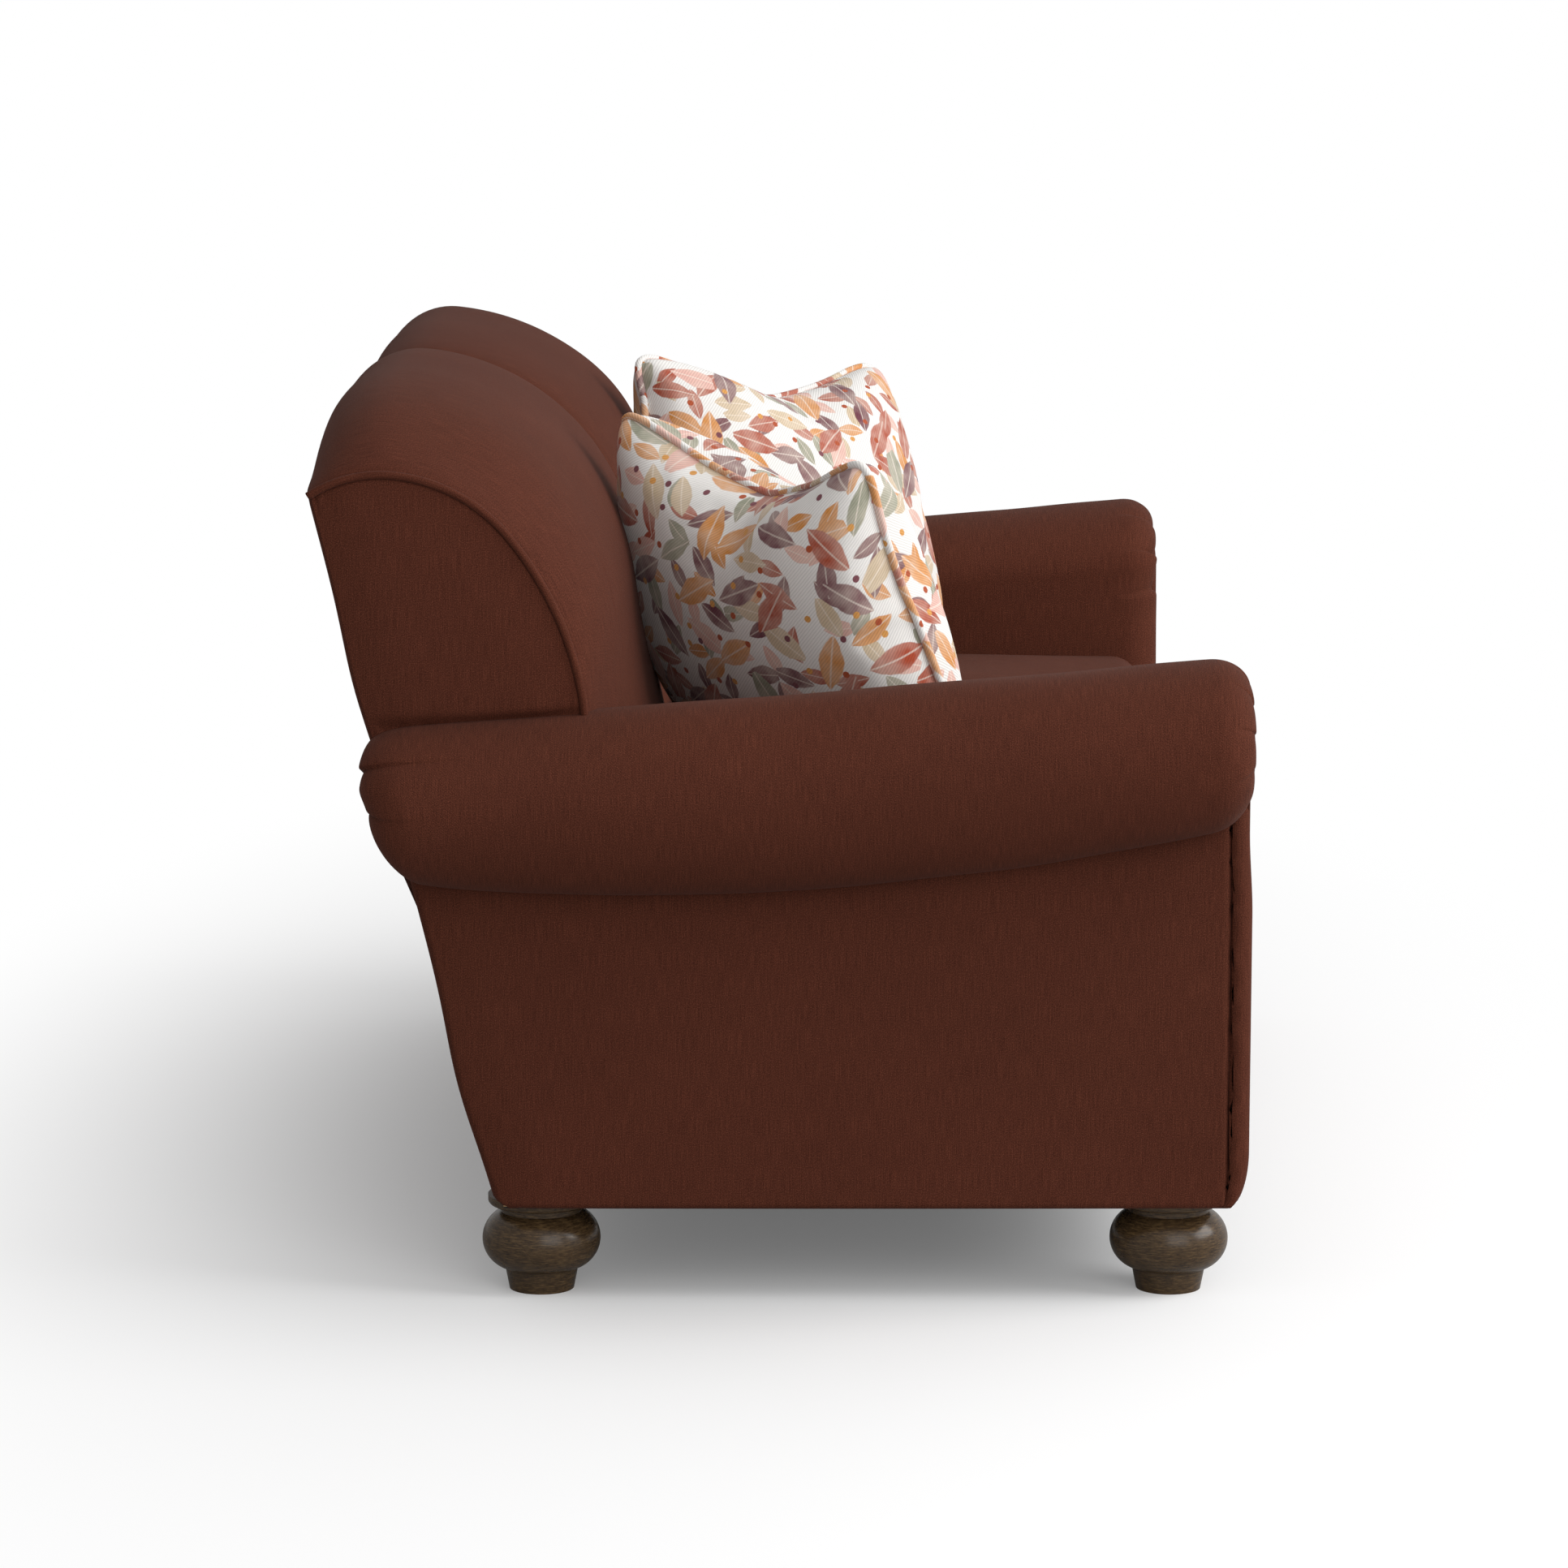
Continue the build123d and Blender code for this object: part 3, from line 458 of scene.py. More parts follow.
def scattered_cells(tree, vector, scale, randomness):
    """One point per cell: the way from it, and a random colour that belongs to the cell."""
    inputs = {"Vector": vector, "Scale": scale, "Randomness": randomness}
    cells = new_node(tree, "TexVoronoi", inputs, voronoi_dimensions="2D").outputs
    away = vector_calc(tree, "SUBTRACT", vector, cells["Position"])
    return away, new_node(tree, "SeparateColor", {0: cells["Color"]}).outputs


def leaf_layer(tree, cloth, ground, scale, size, randomness, shift):
    """Plain leaves with a pale midrib, strewn at all angles over a ground colour."""
    wobble = noise_value(tree, cloth, 70.0)
    edge = grey_ramp(tree, wobble, 0.0, 1.0, -0.16, 0.16)
    moved = vector_calc(tree, "ADD", cloth, (shift, shift * 0.7, 0.0))
    away, chance = scattered_cells(tree, moved, scale, randomness)
    angle = calc(tree, "MULTIPLY", chance[0], 2 * pi)
    turn = new_node(tree, "VectorRotate", {"Vector": away, "Angle": angle}, rotation_type="Z_AXIS")
    local = stretched(tree, turn.outputs[0], LEAF_SLIM / size, 1.0 / size, 0.0)
    split = new_node(tree, "SeparateXYZ", {0: local})
    across = calc(tree, "ABSOLUTE", split.outputs[0])
    along = calc(tree, "ABSOLUTE", split.outputs[1])
    tip = calc(tree, "ADD", across, calc(tree, "POWER", along, 1.8))
    inside = grey_ramp(tree, calc(tree, "ADD", tip, edge), 0.94, 1.04, 1.0, 0.0)
    rib = grey_ramp(tree, across, 0.03, 0.10, 0.55, 0.0)
    tint = ramp(tree, chance[1], LEAF_COLORS, "CONSTANT")
    wash = grey_ramp(tree, noise_value(tree, cloth, 34.0, 3.0), 0.3, 0.7, 0.0, 0.45)
    ribbed = mix(tree, rib, mix(tree, wash, tint, WASH), RIB)
    return mix(tree, inside, ground, ribbed)


def berry_layer(tree, cloth, ground):
    """Small round berries in some of the cells."""
    away, chance = scattered_cells(tree, cloth, BERRY_CELLS, 0.9)
    disc = grey_ramp(tree, vector_calc(tree, "LENGTH", away), *BERRY_RADIUS, 1.0, 0.0)
    kept = calc(tree, "GREATER_THAN", chance[2], BERRY_SKIP)
    tint = ramp(tree, chance[1], BERRY_COLORS, "CONSTANT")
    return mix(tree, calc(tree, "MULTIPLY", disc, kept), ground, tint)


def pillow_material():
    """White twill with a plain strewn print of leaves and berries."""
    material, tree, shader = new_material("pillow_cloth", 0.85, 0.25)
    cloth = cloth_coordinates(tree)
    printed = PRINT_GROUND
    for layer in LEAF_LAYERS:
        printed = leaf_layer(tree, cloth, printed, *layer)
    printed = berry_layer(tree, cloth, printed)
    ribs = twill_ribs(tree, stretched(tree, cloth, -1.0, 1.0), 150.0, 0.8, 2.0)
    shade = grey_ramp(tree, ribs, 0.0, 0.7, 0.80, 1.0)
    rumple = bump(tree, noise_value(tree, cloth, 16.0), 0.006, 0.25)
    set_inputs(tree, shader, {
        "Base Color": vector_calc(tree, "SCALE", printed, scale=shade),
        "Normal": bump(tree, ribs, 0.0005, 0.4, rumple),
        "Sheen Weight": 0.15,
    })
    return material


UPHOLSTERY = upholstery_material()
STAINED_WOOD = stained_wood_material()
FRAME_WOOD = frame_wood_material()
LINING = lining_material()
STEEL = steel_material()
PILLOW_CLOTH = pillow_material()


# Mesh helpers
PANEL_INSETS = (0.003, 0.006)  # inner rings of a flat panel's face
PANEL_STEP = 0.03  # between the points of its outline


def face_outwards(mesh):
    work = bmesh.new()
    work.from_mesh(mesh)
    bmesh.ops.recalc_face_normals(work, faces=work.faces)
    work.to_mesh(mesh)
    work.free()


def cloth_mesh(name, points, faces, places, side=1.0):
    """A smooth mesh that faces outwards. Places are where the corners of its faces lie in the cloth."""
    mesh = bpy.data.meshes.new(name)
    mesh.from_pydata((np.array(points) * (side, 1.0, 1.0)).tolist(), [], faces)
    layer = mesh.uv_layers.new(name="cloth")
    for loop, place in zip(layer.data, places):
        loop.uv = place
    mesh.shade_smooth()
    face_outwards(mesh)
    return mesh


def grid_faces(index):
    """Four-cornered faces between the neighbours in a grid of point numbers."""
    corners = (index[:-1, :-1], index[:-1, 1:], index[1:, 1:], index[1:, :-1])
    return np.stack(corners, axis=2).reshape(-1, 4).tolist()


def mesh_from_rings(name, rings, cloth, side=1.0, capped=True):
    """A tube through closed rings of points, with flat ends. Cloth is where each point lies in the cloth."""
    rings = np.array(rings, dtype=float)
    rows, columns = rings.shape[:2]
    index = np.arange(rows * columns).reshape(rows, columns)
    faces = grid_faces(np.column_stack([index, index[:, 0]]))
    if capped:
        faces.append(index[0, ::-1].tolist())
        faces.append(index[-1].tolist())
    places = np.array(cloth, dtype=float).reshape(-1, 2)
    return cloth_mesh(name, rings.reshape(-1, 3), faces, places[np.concatenate(faces)], side)


def grid_rim(rows, columns):
    """Rows and columns of a grid's outermost points, in order round it."""
    rim = [(0, c) for c in range(columns)] + [(r, columns - 1) for r in range(1, rows)]
    rim += [(rows - 1, c) for c in range(columns - 2, -1, -1)]
    return rim + [(r, 0) for r in range(rows - 2, 0, -1)]


def faced_mesh(name, face, inward, side=1.0, across=1):
    """A padded panel from a grid of points on its face, with edges that turn inwards and a flat rear."""
    rows, columns = face.shape[:2]
    rim = grid_rim(rows, columns)
    points = np.vstack([face.reshape(-1, 3), [face[r, c] + inward for r, c in rim]])
    faces = grid_faces(np.arange(rows * columns).reshape(rows, columns))
    edge = [r * columns + c for r, c in rim]
    behind = list(range(rows * columns, len(points)))
    for here in range(len(rim)):
        after = (here + 1) % len(rim)
        faces.append([edge[after], edge[here], behind[here], behind[after]])
    faces.append(behind)
    front = face[:, :, (across, 2)].copy()
    if across == 0:
        front[:, :, 0] = cloth_run(face, 1) + face[:, columns // 2, :1]
    depth = np.linalg.norm(inward)
    turned_in = [front[r, c] + (depth * ((c == columns - 1) - (c == 0)), 0.0) for r, c in rim]
    places = np.vstack([front.reshape(-1, 2), turned_in])
    return cloth_mesh(name, points, faces, places[np.concatenate(faces)], side)


def panel_rings(outline, thick, edge_round):
    """Rings, (across, along, height), of a flat padded panel, from its rear over a round edge to its face."""
    rings = [(outline, 0.0), (outline, (thick - edge_round) * 0.5)]
    for angle in np.linspace(0, pi / 2, 7):
        moved = inset(outline, edge_round * (1 - cos(angle)))
        rings.append((moved, thick - edge_round + edge_round * sin(angle)))
    for distance in PANEL_INSETS:
        rings.append((inset(outline, edge_round + distance), thick))
    return [np.insert(ring, 2, height, axis=1) for ring, height in rings]


def panel_mesh(name, rings, place):
    """A padded panel whose (across, along, height) rings are placed in space by a function."""
    placed = [np.array([place(*point) for point in ring]) for ring in rings]
    cloth = [ring[:, :2] + ring[:, 2:] * (1.0, 0.0) for ring in rings]
    return mesh_from_rings(name, placed, cloth)


def tube_rings(path, radius, closed, around=12):
    """Rings of a round cord along a path."""
    path = np.array(path, dtype=float)
    if closed:
        ahead = np.roll(path, -1, axis=0) - np.roll(path, 1, axis=0)
    else:
        ahead = np.gradient(path, axis=0)
    ahead /= np.linalg.norm(ahead, axis=1)[:, None]
    side = np.cross(ahead, (0.31, 0.22, 0.93))
    side /= np.linalg.norm(side, axis=1)[:, None]
    up = np.cross(side, ahead)
    length = run_length(path)
    angles = np.linspace(0, 2 * pi, around, endpoint=False)
    rings = []
    cloth = []
    for index, point in enumerate(path):
        ring = point + radius * (np.cos(angles)[:, None] * side[index] + np.sin(angles)[:, None] * up[index])
        rings.append(ring)
        cloth.append(np.stack([angles * radius, np.full(around, length[index])], axis=1))
    if closed:
        rings.append(rings[0])
        cloth.append(cloth[0] + (0.0, length[-1]))
    return rings, cloth


def add_piece(mesh, material, body, nodes):
    piece = bpy.data.objects.new(mesh.name, mesh)
    scene.collection.objects.link(piece)
    mesh.materials.append(material)
    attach(piece, body)
    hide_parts(*nodes)
    return piece


def add_cover(mesh, nodes, body="frame"):
    """A piece in the upholstery cloth."""
    add_piece(mesh, UPHOLSTERY, body, nodes)


# Arms: pleats at the front and folds at the rear, by their distance along the section
INNER_PLEATS = (-0.032, 0.028, 0.095)
OUTER_PLEATS = (0.165, 0.225, 0.285, 0.345, 0.405)
CROWN_RUN = 0.161
UPPER_FOLD = 0.250
LOWER_FOLD = 0.316
ROLL_ROUND = 0.455
INNER_PLEAT_DEPTH = 0.0085
OUTER_PLEAT_DEPTH = 0.0026
UPPER_FOLD_DEPTH = 0.0070
LOWER_FOLD_DEPTH = 0.0045
INNER_PLEAT_LONG = 0.052
OUTER_PLEAT_LONG = 0.026
UPPER_FOLD_LONG = 0.125
LOWER_FOLD_LONG = 0.080
FOLD_POWER = 1.4
FRONT_LIP = 0.0016
REAR_LIP = 0.0015
PLEAT_SOFT = 0.019
# The roll's rear end: it lies forward above the upper fold and below the lower one
REAR_TOP_ROUND = 0.30
UPPER_LOBE_SET = 0.010
UPPER_LOBE_POWER = 1.2
LOWER_LOBE_STEP = 0.009
LOWER_LOBE_TAPER = 0.038
LOWER_LOBE_EDGE = 0.003
LOWER_LOBE_RISE = 0.038
LOWER_LOBE_POWER = 2.4
LOBE_LONG = 0.09
LOBE_POWER = 1.2
REAR_CAP_STEPS = (0.012, 0.024, 0.036, 0.048)
REAR_CAP_LEAN = 0.08
# The cover's foot and the points round its section
FRONT_RIM = ((0.016, 0.008), (0.006, 0.006))  # set back and shrink of the rings inside the roll's front
FRONT_LEG_Z = BASE_Z + 0.002
FRONT_LEG_Y = SEAM_Y + 0.012
INNER_FOOT = 0.31
INNER_LAP = 0.003
SIDE_TUCK = 0.006
SIDE_LAP = 0.002
REAR_SET = 0.014
PLEAT_RUN = 0.05
FOLD_RUN = 0.09
RUN_COUNTS = (12, 36, 22)
LEG_POINTS = 30
INNER_POINTS = 90
CROWN_POINTS = 70
OUTER_POINTS = 150
UNDER_POINTS = 72
ARM_UNEVEN = (0.0016, 0.11, 3)
# Front pads, pulled under at the base
FOOT_DRAW_Z = 0.16
FOOT_DRAW_TALL = 0.06
FOOT_DRAW_MOST = 0.97
PAD_LEAST = 0.001
FACING_Y = -0.45
FACING_LAP = 0.038
FACING_THICK = 0.022
FACING_ROUND = 0.015
FACING_BACK = (0.0, 0.009, 0.0)
SCROLL_SINK = 0.17
SCROLL_FOOT = 0.41
SCROLL_RUN = 0.09
# Side panels
SIDE_FOOT = 0.1005
SIDE_TOP_FRONT = 0.570
SIDE_TOP_REAR = 0.552
SIDE_EDGE = 0.0055
SIDE_CORNER = 0.014
SIDE_SWELL = 0.0015
SIDE_BACK = (-0.020, 0.0, 0.0)
REAR_LAP = 0.004
REAR_EDGE = 0.055
REAR_EDGE_FALL = 0.0065
REAR_EDGE_POWER = 1.6


def roll_outline(y, foot):
    """Section of the right arm's cover: up the inner face, over the roll and back to the side panel."""
    top = float(arm_top(y))
    low = roll_low(y)
    middle = (top + low) / 2
    shoulder = top - SHOULDER_DROP
    side = OUTER_X - SIDE_LAP
    points = [np.array((INNER_X, z)) for z in np.linspace(foot, INNER_FOOT, LEG_POINTS + 1)[:-1]]
    points += [np.array((INNER_X, z)) for z in np.linspace(INNER_FOOT, shoulder, INNER_POINTS)]
    points += ellipse_run((CROWN_X, shoulder), (INNER_X, shoulder), (CROWN_X, top), CROWN_POINTS)
    points += ellipse_run((CROWN_X, middle), (CROWN_X, top), (ROLL_X, middle), OUTER_POINTS)
    points += ellipse_run((side, middle), (ROLL_X, middle), (side, low), UNDER_POINTS)
    return np.array(points)


def pleats(distance, places, depth, lip):
    """How far the cover sinks at a distance along its section: folds with a lip and a soft slope after it."""
    sunk = np.zeros_like(distance)
    for place in places:
        away = distance - place
        sunk += depth * np.where(away > 0, np.exp(-away / PLEAT_SOFT), np.exp(away / lip))
    return sunk


def arm_sunk(y, length):
    """How far all pleats and folds sink into the cover at a place along the arm."""
    from_front = y - ROLL_FRONT_Y
    from_rear = ROLL_REAR_Y - y
    inner = INNER_PLEAT_DEPTH * nearness(from_front, INNER_PLEAT_LONG)
    outer = OUTER_PLEAT_DEPTH * nearness(from_front, OUTER_PLEAT_LONG)
    upper = UPPER_FOLD_DEPTH * nearness(from_rear, UPPER_FOLD_LONG) ** FOLD_POWER
    lower = LOWER_FOLD_DEPTH * nearness(from_rear, LOWER_FOLD_LONG) ** FOLD_POWER
    sunk = pleats(length, INNER_PLEATS, inner, FRONT_LIP)
    sunk += pleats(length, OUTER_PLEATS, outer, FRONT_LIP)
    sunk += pleats(length, (UPPER_FOLD,), upper, REAR_LIP)
    sunk += pleats(length, (LOWER_FOLD,), lower, REAR_LIP)
    return sunk


def arm_stations():
    """Places along the arm, front to rear, each with the section's shrink and the tilt of the face there."""
    stations = [(ROLL_FRONT_Y + back, ROLL_FRONT_ROUND + shrink, 0.0) for back, shrink in FRONT_RIM]
    front_flat = ROLL_FRONT_Y + ROLL_FRONT_LONG
    for angle in np.linspace(pi / 2, 0, 22):
        y = front_flat - ROLL_FRONT_LONG * sin(angle)
        stations.append((y, ROLL_FRONT_ROUND * (1 - cos(angle)), -angle))
    rear_flat = ROLL_REAR_Y - ROLL_REAR_ROUND
    breaks = (front_flat, front_flat + PLEAT_RUN, rear_flat - FOLD_RUN, rear_flat)
    for start, end, count in zip(breaks, breaks[1:], RUN_COUNTS):
        stations += [(y, 0.0, 0.0) for y in np.linspace(start, end, count)[1:]]
    for angle in np.linspace(0, pi / 2, 24)[1:]:
        y = rear_flat + ROLL_REAR_ROUND * sin(angle)
        stations.append((y, ROLL_REAR_ROUND * (1 - cos(angle)), angle))
    for step in REAR_CAP_STEPS:
        stations.append((ROLL_REAR_Y - REAR_CAP_LEAN * step, ROLL_REAR_ROUND + step, pi / 2))
    return stations


def rear_lobes(distance):
    """How far the roll's rear end lies forward above its upper fold and below its lower fold."""
    above = np.clip((UPPER_FOLD - distance) / (UPPER_FOLD - CROWN_RUN), 0, 1)
    below = np.clip((distance - LOWER_FOLD) / (ROLL_ROUND - LOWER_FOLD), 0, 1)
    step = smooth_step(distance, LOWER_FOLD - LOWER_LOBE_TAPER, LOWER_FOLD + LOWER_LOBE_EDGE)
    upper = UPPER_LOBE_SET * above**UPPER_LOBE_POWER
    return upper + LOWER_LOBE_STEP * step + LOWER_LOBE_RISE * below**LOWER_LOBE_POWER


def foot_draw(z):
    """Share of a front pad's thickness that is left near the base, where it is pulled under."""
    below = np.clip((FOOT_DRAW_Z - z) / FOOT_DRAW_TALL, 0, FOOT_DRAW_MOST)
    return np.sqrt(1 - below**2)


def arm_rings():
    """Rings of the right arm's cover, front to rear, and where their points lie in the cloth."""
    rings = []
    cloth = []
    tuck_x = OUTER_X - SIDE_TUCK
    for y, shrink, tilt in arm_stations():
        foot = FRONT_LEG_Z if y < FRONT_LEG_Y else INNER_FOOT - INNER_LAP
        outline = roll_outline(y, foot)
        normals = outward(outline)
        length = run_length(outline) - (outline[LEG_POINTS + INNER_POINTS - 1][1] - foot)
        sunk = arm_sunk(y, length)
        flat_top = np.where(normals[:, 1] > 0, REAR_TOP_ROUND, 1.0) if tilt > 0 else np.ones(len(outline))
        drawn = np.column_stack([np.full(len(outline), shrink), shrink * flat_top])
        placed = outline - normals * (drawn + (sunk * cos(tilt))[:, None])
        overhang = outline[:, 0] > tuck_x
        placed[:, 0] = np.where(overhang, np.maximum(placed[:, 0], tuck_x), placed[:, 0])
        lobes = rear_lobes(length) * nearness(ROLL_REAR_Y - y, LOBE_LONG) ** LOBE_POWER
        depth = y - sunk * sin(tilt) - lobes
        depth = np.where(overhang, depth, np.minimum(depth, rear_y(placed[:, 1]) - REAR_SET))
        depth = np.where(depth < SEAM_Y, SEAM_Y + (depth - SEAM_Y) * foot_draw(placed[:, 1]), depth)
        rings.append(np.column_stack([placed[:, 0], depth, placed[:, 1]]))
        cloth.append(np.column_stack([np.full(len(outline), y), length]))
    return np.array(rings), np.array(cloth)


def front_pad(z, thick, edge_round, away):
    """How far forward a front pad stands at a distance from its edge."""
    height = thick - edge_fall(away, edge_round)
    return SEAM_Y - max(PAD_LEAST, height * foot_draw(z))


def facing_edges():
    """Inner and outer edge, (x, z), of the arm's front panel, from the base up to the top of its scroll."""
    section = roll_outline(FACING_Y, BASE_Z)
    lapped = section - outward(section) * FACING_LAP
    top = lapped[:, 1].argmax()
    inner = lapped[:top]
    scroll = lapped[top + 1:][::-1]
    corner_z = scroll[0][1]
    leg = [(OUTER_X, z) for z in np.linspace(BASE_Z, corner_z, 60, endpoint=False)]
    return inner, np.vstack([leg, scroll]), corner_z


def facing_face():
    """Face of the right arm's front panel: straight below, scrolled above."""
    inner, outer, corner_z = facing_edges()
    top = min(inner[-1][1], outer[-1][1])
    base = np.column_stack([np.linspace(INNER_X + FACING_LAP, OUTER_X, 40), np.full(40, BASE_Z)])
    rim = np.vstack([resample(inner, 260), resample(outer, 320), base])
    rows = []
    for z in np.concatenate([eased(70, BASE_Z, corner_z), eased(70, corner_z, top)[1:]]):
        ends = [np.interp(z, edge[:, 1], edge[:, 0]) for edge in (inner, outer)]
        thick = FACING_THICK * (1 - SCROLL_SINK * smooth_step(z, SCROLL_FOOT, SCROLL_FOOT + SCROLL_RUN))
        row = []
        for x in eased(30, *ends):
            away = np.linalg.norm(rim - (x, z), axis=1).min()
            row.append((x, front_pad(z, thick, FACING_ROUND, away), z))
        rows.append(row)
    return np.array(rows)


def rear_fall(y, z):
    """How far a side's face turns inwards towards the rear edge."""
    share = np.clip(1 - (padded_rear(z) - y) / REAR_EDGE, 0, 1)
    return REAR_EDGE_FALL * share**REAR_EDGE_POWER


def side_point(share, along):
    """A point of the right outside arm panel's face, at shares of its height and of its length."""
    z_top = SIDE_TOP_FRONT + (SIDE_TOP_REAR - SIDE_TOP_FRONT) * along
    z = SIDE_FOOT + (z_top - SIDE_FOOT) * share
    rear = padded_rear(z) - REAR_LAP - edge_fall(z - SIDE_FOOT, SIDE_CORNER)
    y = SEAM_Y + (rear - SEAM_Y) * along
    fall = edge_fall(y - SEAM_Y, SIDE_EDGE) + edge_fall(z - SIDE_FOOT, SIDE_EDGE)
    x = OUTER_X + SIDE_SWELL * sin(pi * along) - min(fall, SIDE_EDGE) - rear_fall(y, z)
    return (x, y, z)


def make_arms():
    rings, cloth = arm_rings()
    uneven = ripple(rings, *ARM_UNEVEN)
    facing = facing_face()
    side_points = point_grid(side_point, eased(70), eased(90))
    for name, side in SIDES.items():
        mesh = mesh_from_rings(f"arm_cover_{name}", uneven, cloth, side)
        add_cover(mesh, (f"arm_roll_{name}", f"arm_inside_panel_{name}"))
        mesh = faced_mesh(f"arm_front_{name}", facing, FACING_BACK, side, across=0)
        add_cover(mesh, (f"arm_front_panel_{name}",))
        mesh = faced_mesh(f"arm_side_{name}", side_points, SIDE_BACK, side)
        add_cover(mesh, (f"arm_outside_panel_{name}",))


# Back: points of its outline at the ends and at the crest, forward of the rear corner and above it
END_POINTS = (
    (0.0, 0.0005),
    (0.037, 0.0175),
    (0.093, 0.022),
    (0.210, -0.043),
    (0.281, -0.191),
    (0.275, -0.346),
)
CREST_POINTS = (
    (0.0, 0.013),
    (0.031, 0.0868),
    (0.078, 0.099),
    (0.230, 0.036),
    (0.324, -0.142),
    (0.363, -0.346),
)
FLANK = 3  # the point that a fuller flank lifts
FLANK_LIFT = {"right": 0.009, "left": 0.0}
FLANK_FORWARD = 0.3
CREST_X = 0.336
SWELL_POWER = 3.6
CENTER_SWELL = 0.76
SEAM_GAP = 0.0004
END_GAP = 0.0005
SEAM_PULL = (0.010, 0.010)  # depth and reach of the pull at the middle seam
END_PULL = (0.004, 0.007)
BACK_FRONT_Y = 0.205
BACK_ARM_LAP = 0.012
BACK_INNER = 0.04
BACK_INNER_DROP = 0.01
BACK_COLUMNS = 88
BACK_ROWS = 110
BACK_UNEVEN = (0.0022, 0.16, 7)
# Ends of the back with their welts
WELT_RADIUS = 0.0042
WELT_SET = 0.0035
WELT_FOOT = 0.61
WELT_TUCK = 0.0045
END_SET = 0.006
END_FOOT = 0.60
END_REAR_FOOT = 0.53
END_ROUND = 0.005
END_SINK = 0.004
END_SWELL = 0.004
END_SWELL_RUN = 0.06
END_TUCK = 0.011
END_LEAST = 0.0008
END_BACK = (-0.022, 0.0, 0.0)
# Outside back and lower pad
BACK_EDGE = 0.008
BACK_EDGE_GAP = 0.0005
BACK_TOP_LAP = 0.002
BACK_BOARD = (0.0, -0.010, 0.0)
LOWER_PAD_THICK = 0.085
LOWER_PAD_ROUND = 0.012
LOWER_PAD_SET = 0.037


def back_outline(swell, lift=0.0):
    """The back's outline at a share of its crown, (y, z), from the rear corner over the top to its foot."""
    pairs = np.array(END_POINTS) * (1 - swell) + np.array(CREST_POINTS) * swell
    pairs[FLANK] += (lift * FLANK_FORWARD, lift)
    places = [np.array((CORNER_Y - forward, CORNER_Z + rise)) for forward, rise in pairs]
    places[0] = np.array((rear_y(places[0][1]), places[0][1]))
    tangent = first_tangent(places[0], places[1], places[2])
    points = [places[0]]
    for start, end in zip((places[0], *places[2:]), places[2:]):
        run, tangent = arc_run(start, tangent, end, 40)
        points += run
    return np.array(points)


def cut_at(points, z):
    """The outline down to a height on its front."""
    top = points[:, 1].argmax()
    keep = (np.arange(len(points)) <= top) | (points[:, 1] > z)
    last = np.nonzero(keep)[0][-1]
    return points[: last + 1]


def seam_pull(gap, depth, reach):
    return depth * np.exp(-gap / reach)


def back_rings(lift):
    """Rings of one back cushion from the middle seam to its end, and where their points lie in the cloth."""
    low_x = -SEAM_GAP
    high_x = END_X - END_GAP
    inner_z = SHELF_Z - BACK_INNER_DROP
    rings = []
    cloth = []
    for along in np.sin(np.linspace(-pi / 2, pi / 2, BACK_COLUMNS)):
        reach = CREST_X - low_x if along < 0 else high_x - CREST_X
        x = CREST_X + reach * along
        edge = CENTER_SWELL if along < 0 else 0.0
        swell = 1 - (1 - edge) * abs(along) ** SWELL_POWER
        foot = BACK_FOOT_Z if x < INNER_X else arm_surface(x, BACK_FRONT_Y) - BACK_ARM_LAP
        outline = resample(cut_at(back_outline(swell, lift * (1 - along**2)), foot), BACK_ROWS)
        pull = seam_pull(x - low_x, *SEAM_PULL) + seam_pull(high_x - x, *END_PULL)
        outline = outline + outward(outline) * pull
        length = run_length(outline)
        foot_z = outline[-1][1]
        inside = [(rear_y(z) - BACK_INNER, z) for z in (foot_z, inner_z)]
        loop = np.vstack([outline, inside])
        rings.append(np.insert(loop, 0, x, axis=1))
        cloth.append(np.column_stack([np.full(len(loop), x), np.append(length, (length[-1], 0.0))]))
    return np.array(rings), np.array(cloth)


def end_outline(distance, foot):
    """The outline of the back's end, moved inwards."""
    outline = resample(cut_at(back_outline(0.0), foot), 120)
    return outline + outward(outline) * distance


def end_face():
    """Face of the right end of the back, between its curved edge and its straight rear edge."""
    curve = resample(end_outline(END_SET, END_FOOT), 100)
    rear_line = np.linspace(curve[0][1], END_REAR_FOOT, 30)
    rear_points = np.column_stack([padded_rear(rear_line) - REAR_LAP, rear_line])
    straight = resample(np.vstack([rear_points, curve[-1] + (REAR_LAP, 0.0)]), 100)
    rows = []
    for share in eased(60):
        line = curve + (straight - curve) * share
        y, z = line.T
        away = np.linalg.norm(line - curve, axis=1)
        swell = END_SWELL * np.clip(away / END_SWELL_RUN, 0, 1)
        tuck = edge_fall(np.maximum(z - arm_top(y), 0.0), END_TUCK)
        x = OUTER_X - END_SINK - edge_fall(away, END_ROUND) + swell - rear_fall(y, z) - tuck
        rows.append(np.column_stack([np.maximum(x, END_X + END_LEAST), line]))
    return np.array(rows)


def back_face():
    """Face of the outside back, from its base to its top edge."""
    half = OUTER_X - REAR_EDGE_FALL - BACK_EDGE_GAP
    top = SHELF_Z + BACK_TOP_LAP

    def point(z, x):
        edge = max(edge_fall(half - abs(x), BACK_EDGE), edge_fall(top - z, BACK_EDGE))
        fall = edge + edge_fall(z - SIDE_FOOT, SIDE_CORNER)
        return (x, padded_rear(z) - min(fall, SIDE_CORNER), z)

    return point_grid(point, eased(70, SIDE_FOOT, top), eased(100, -half, half))


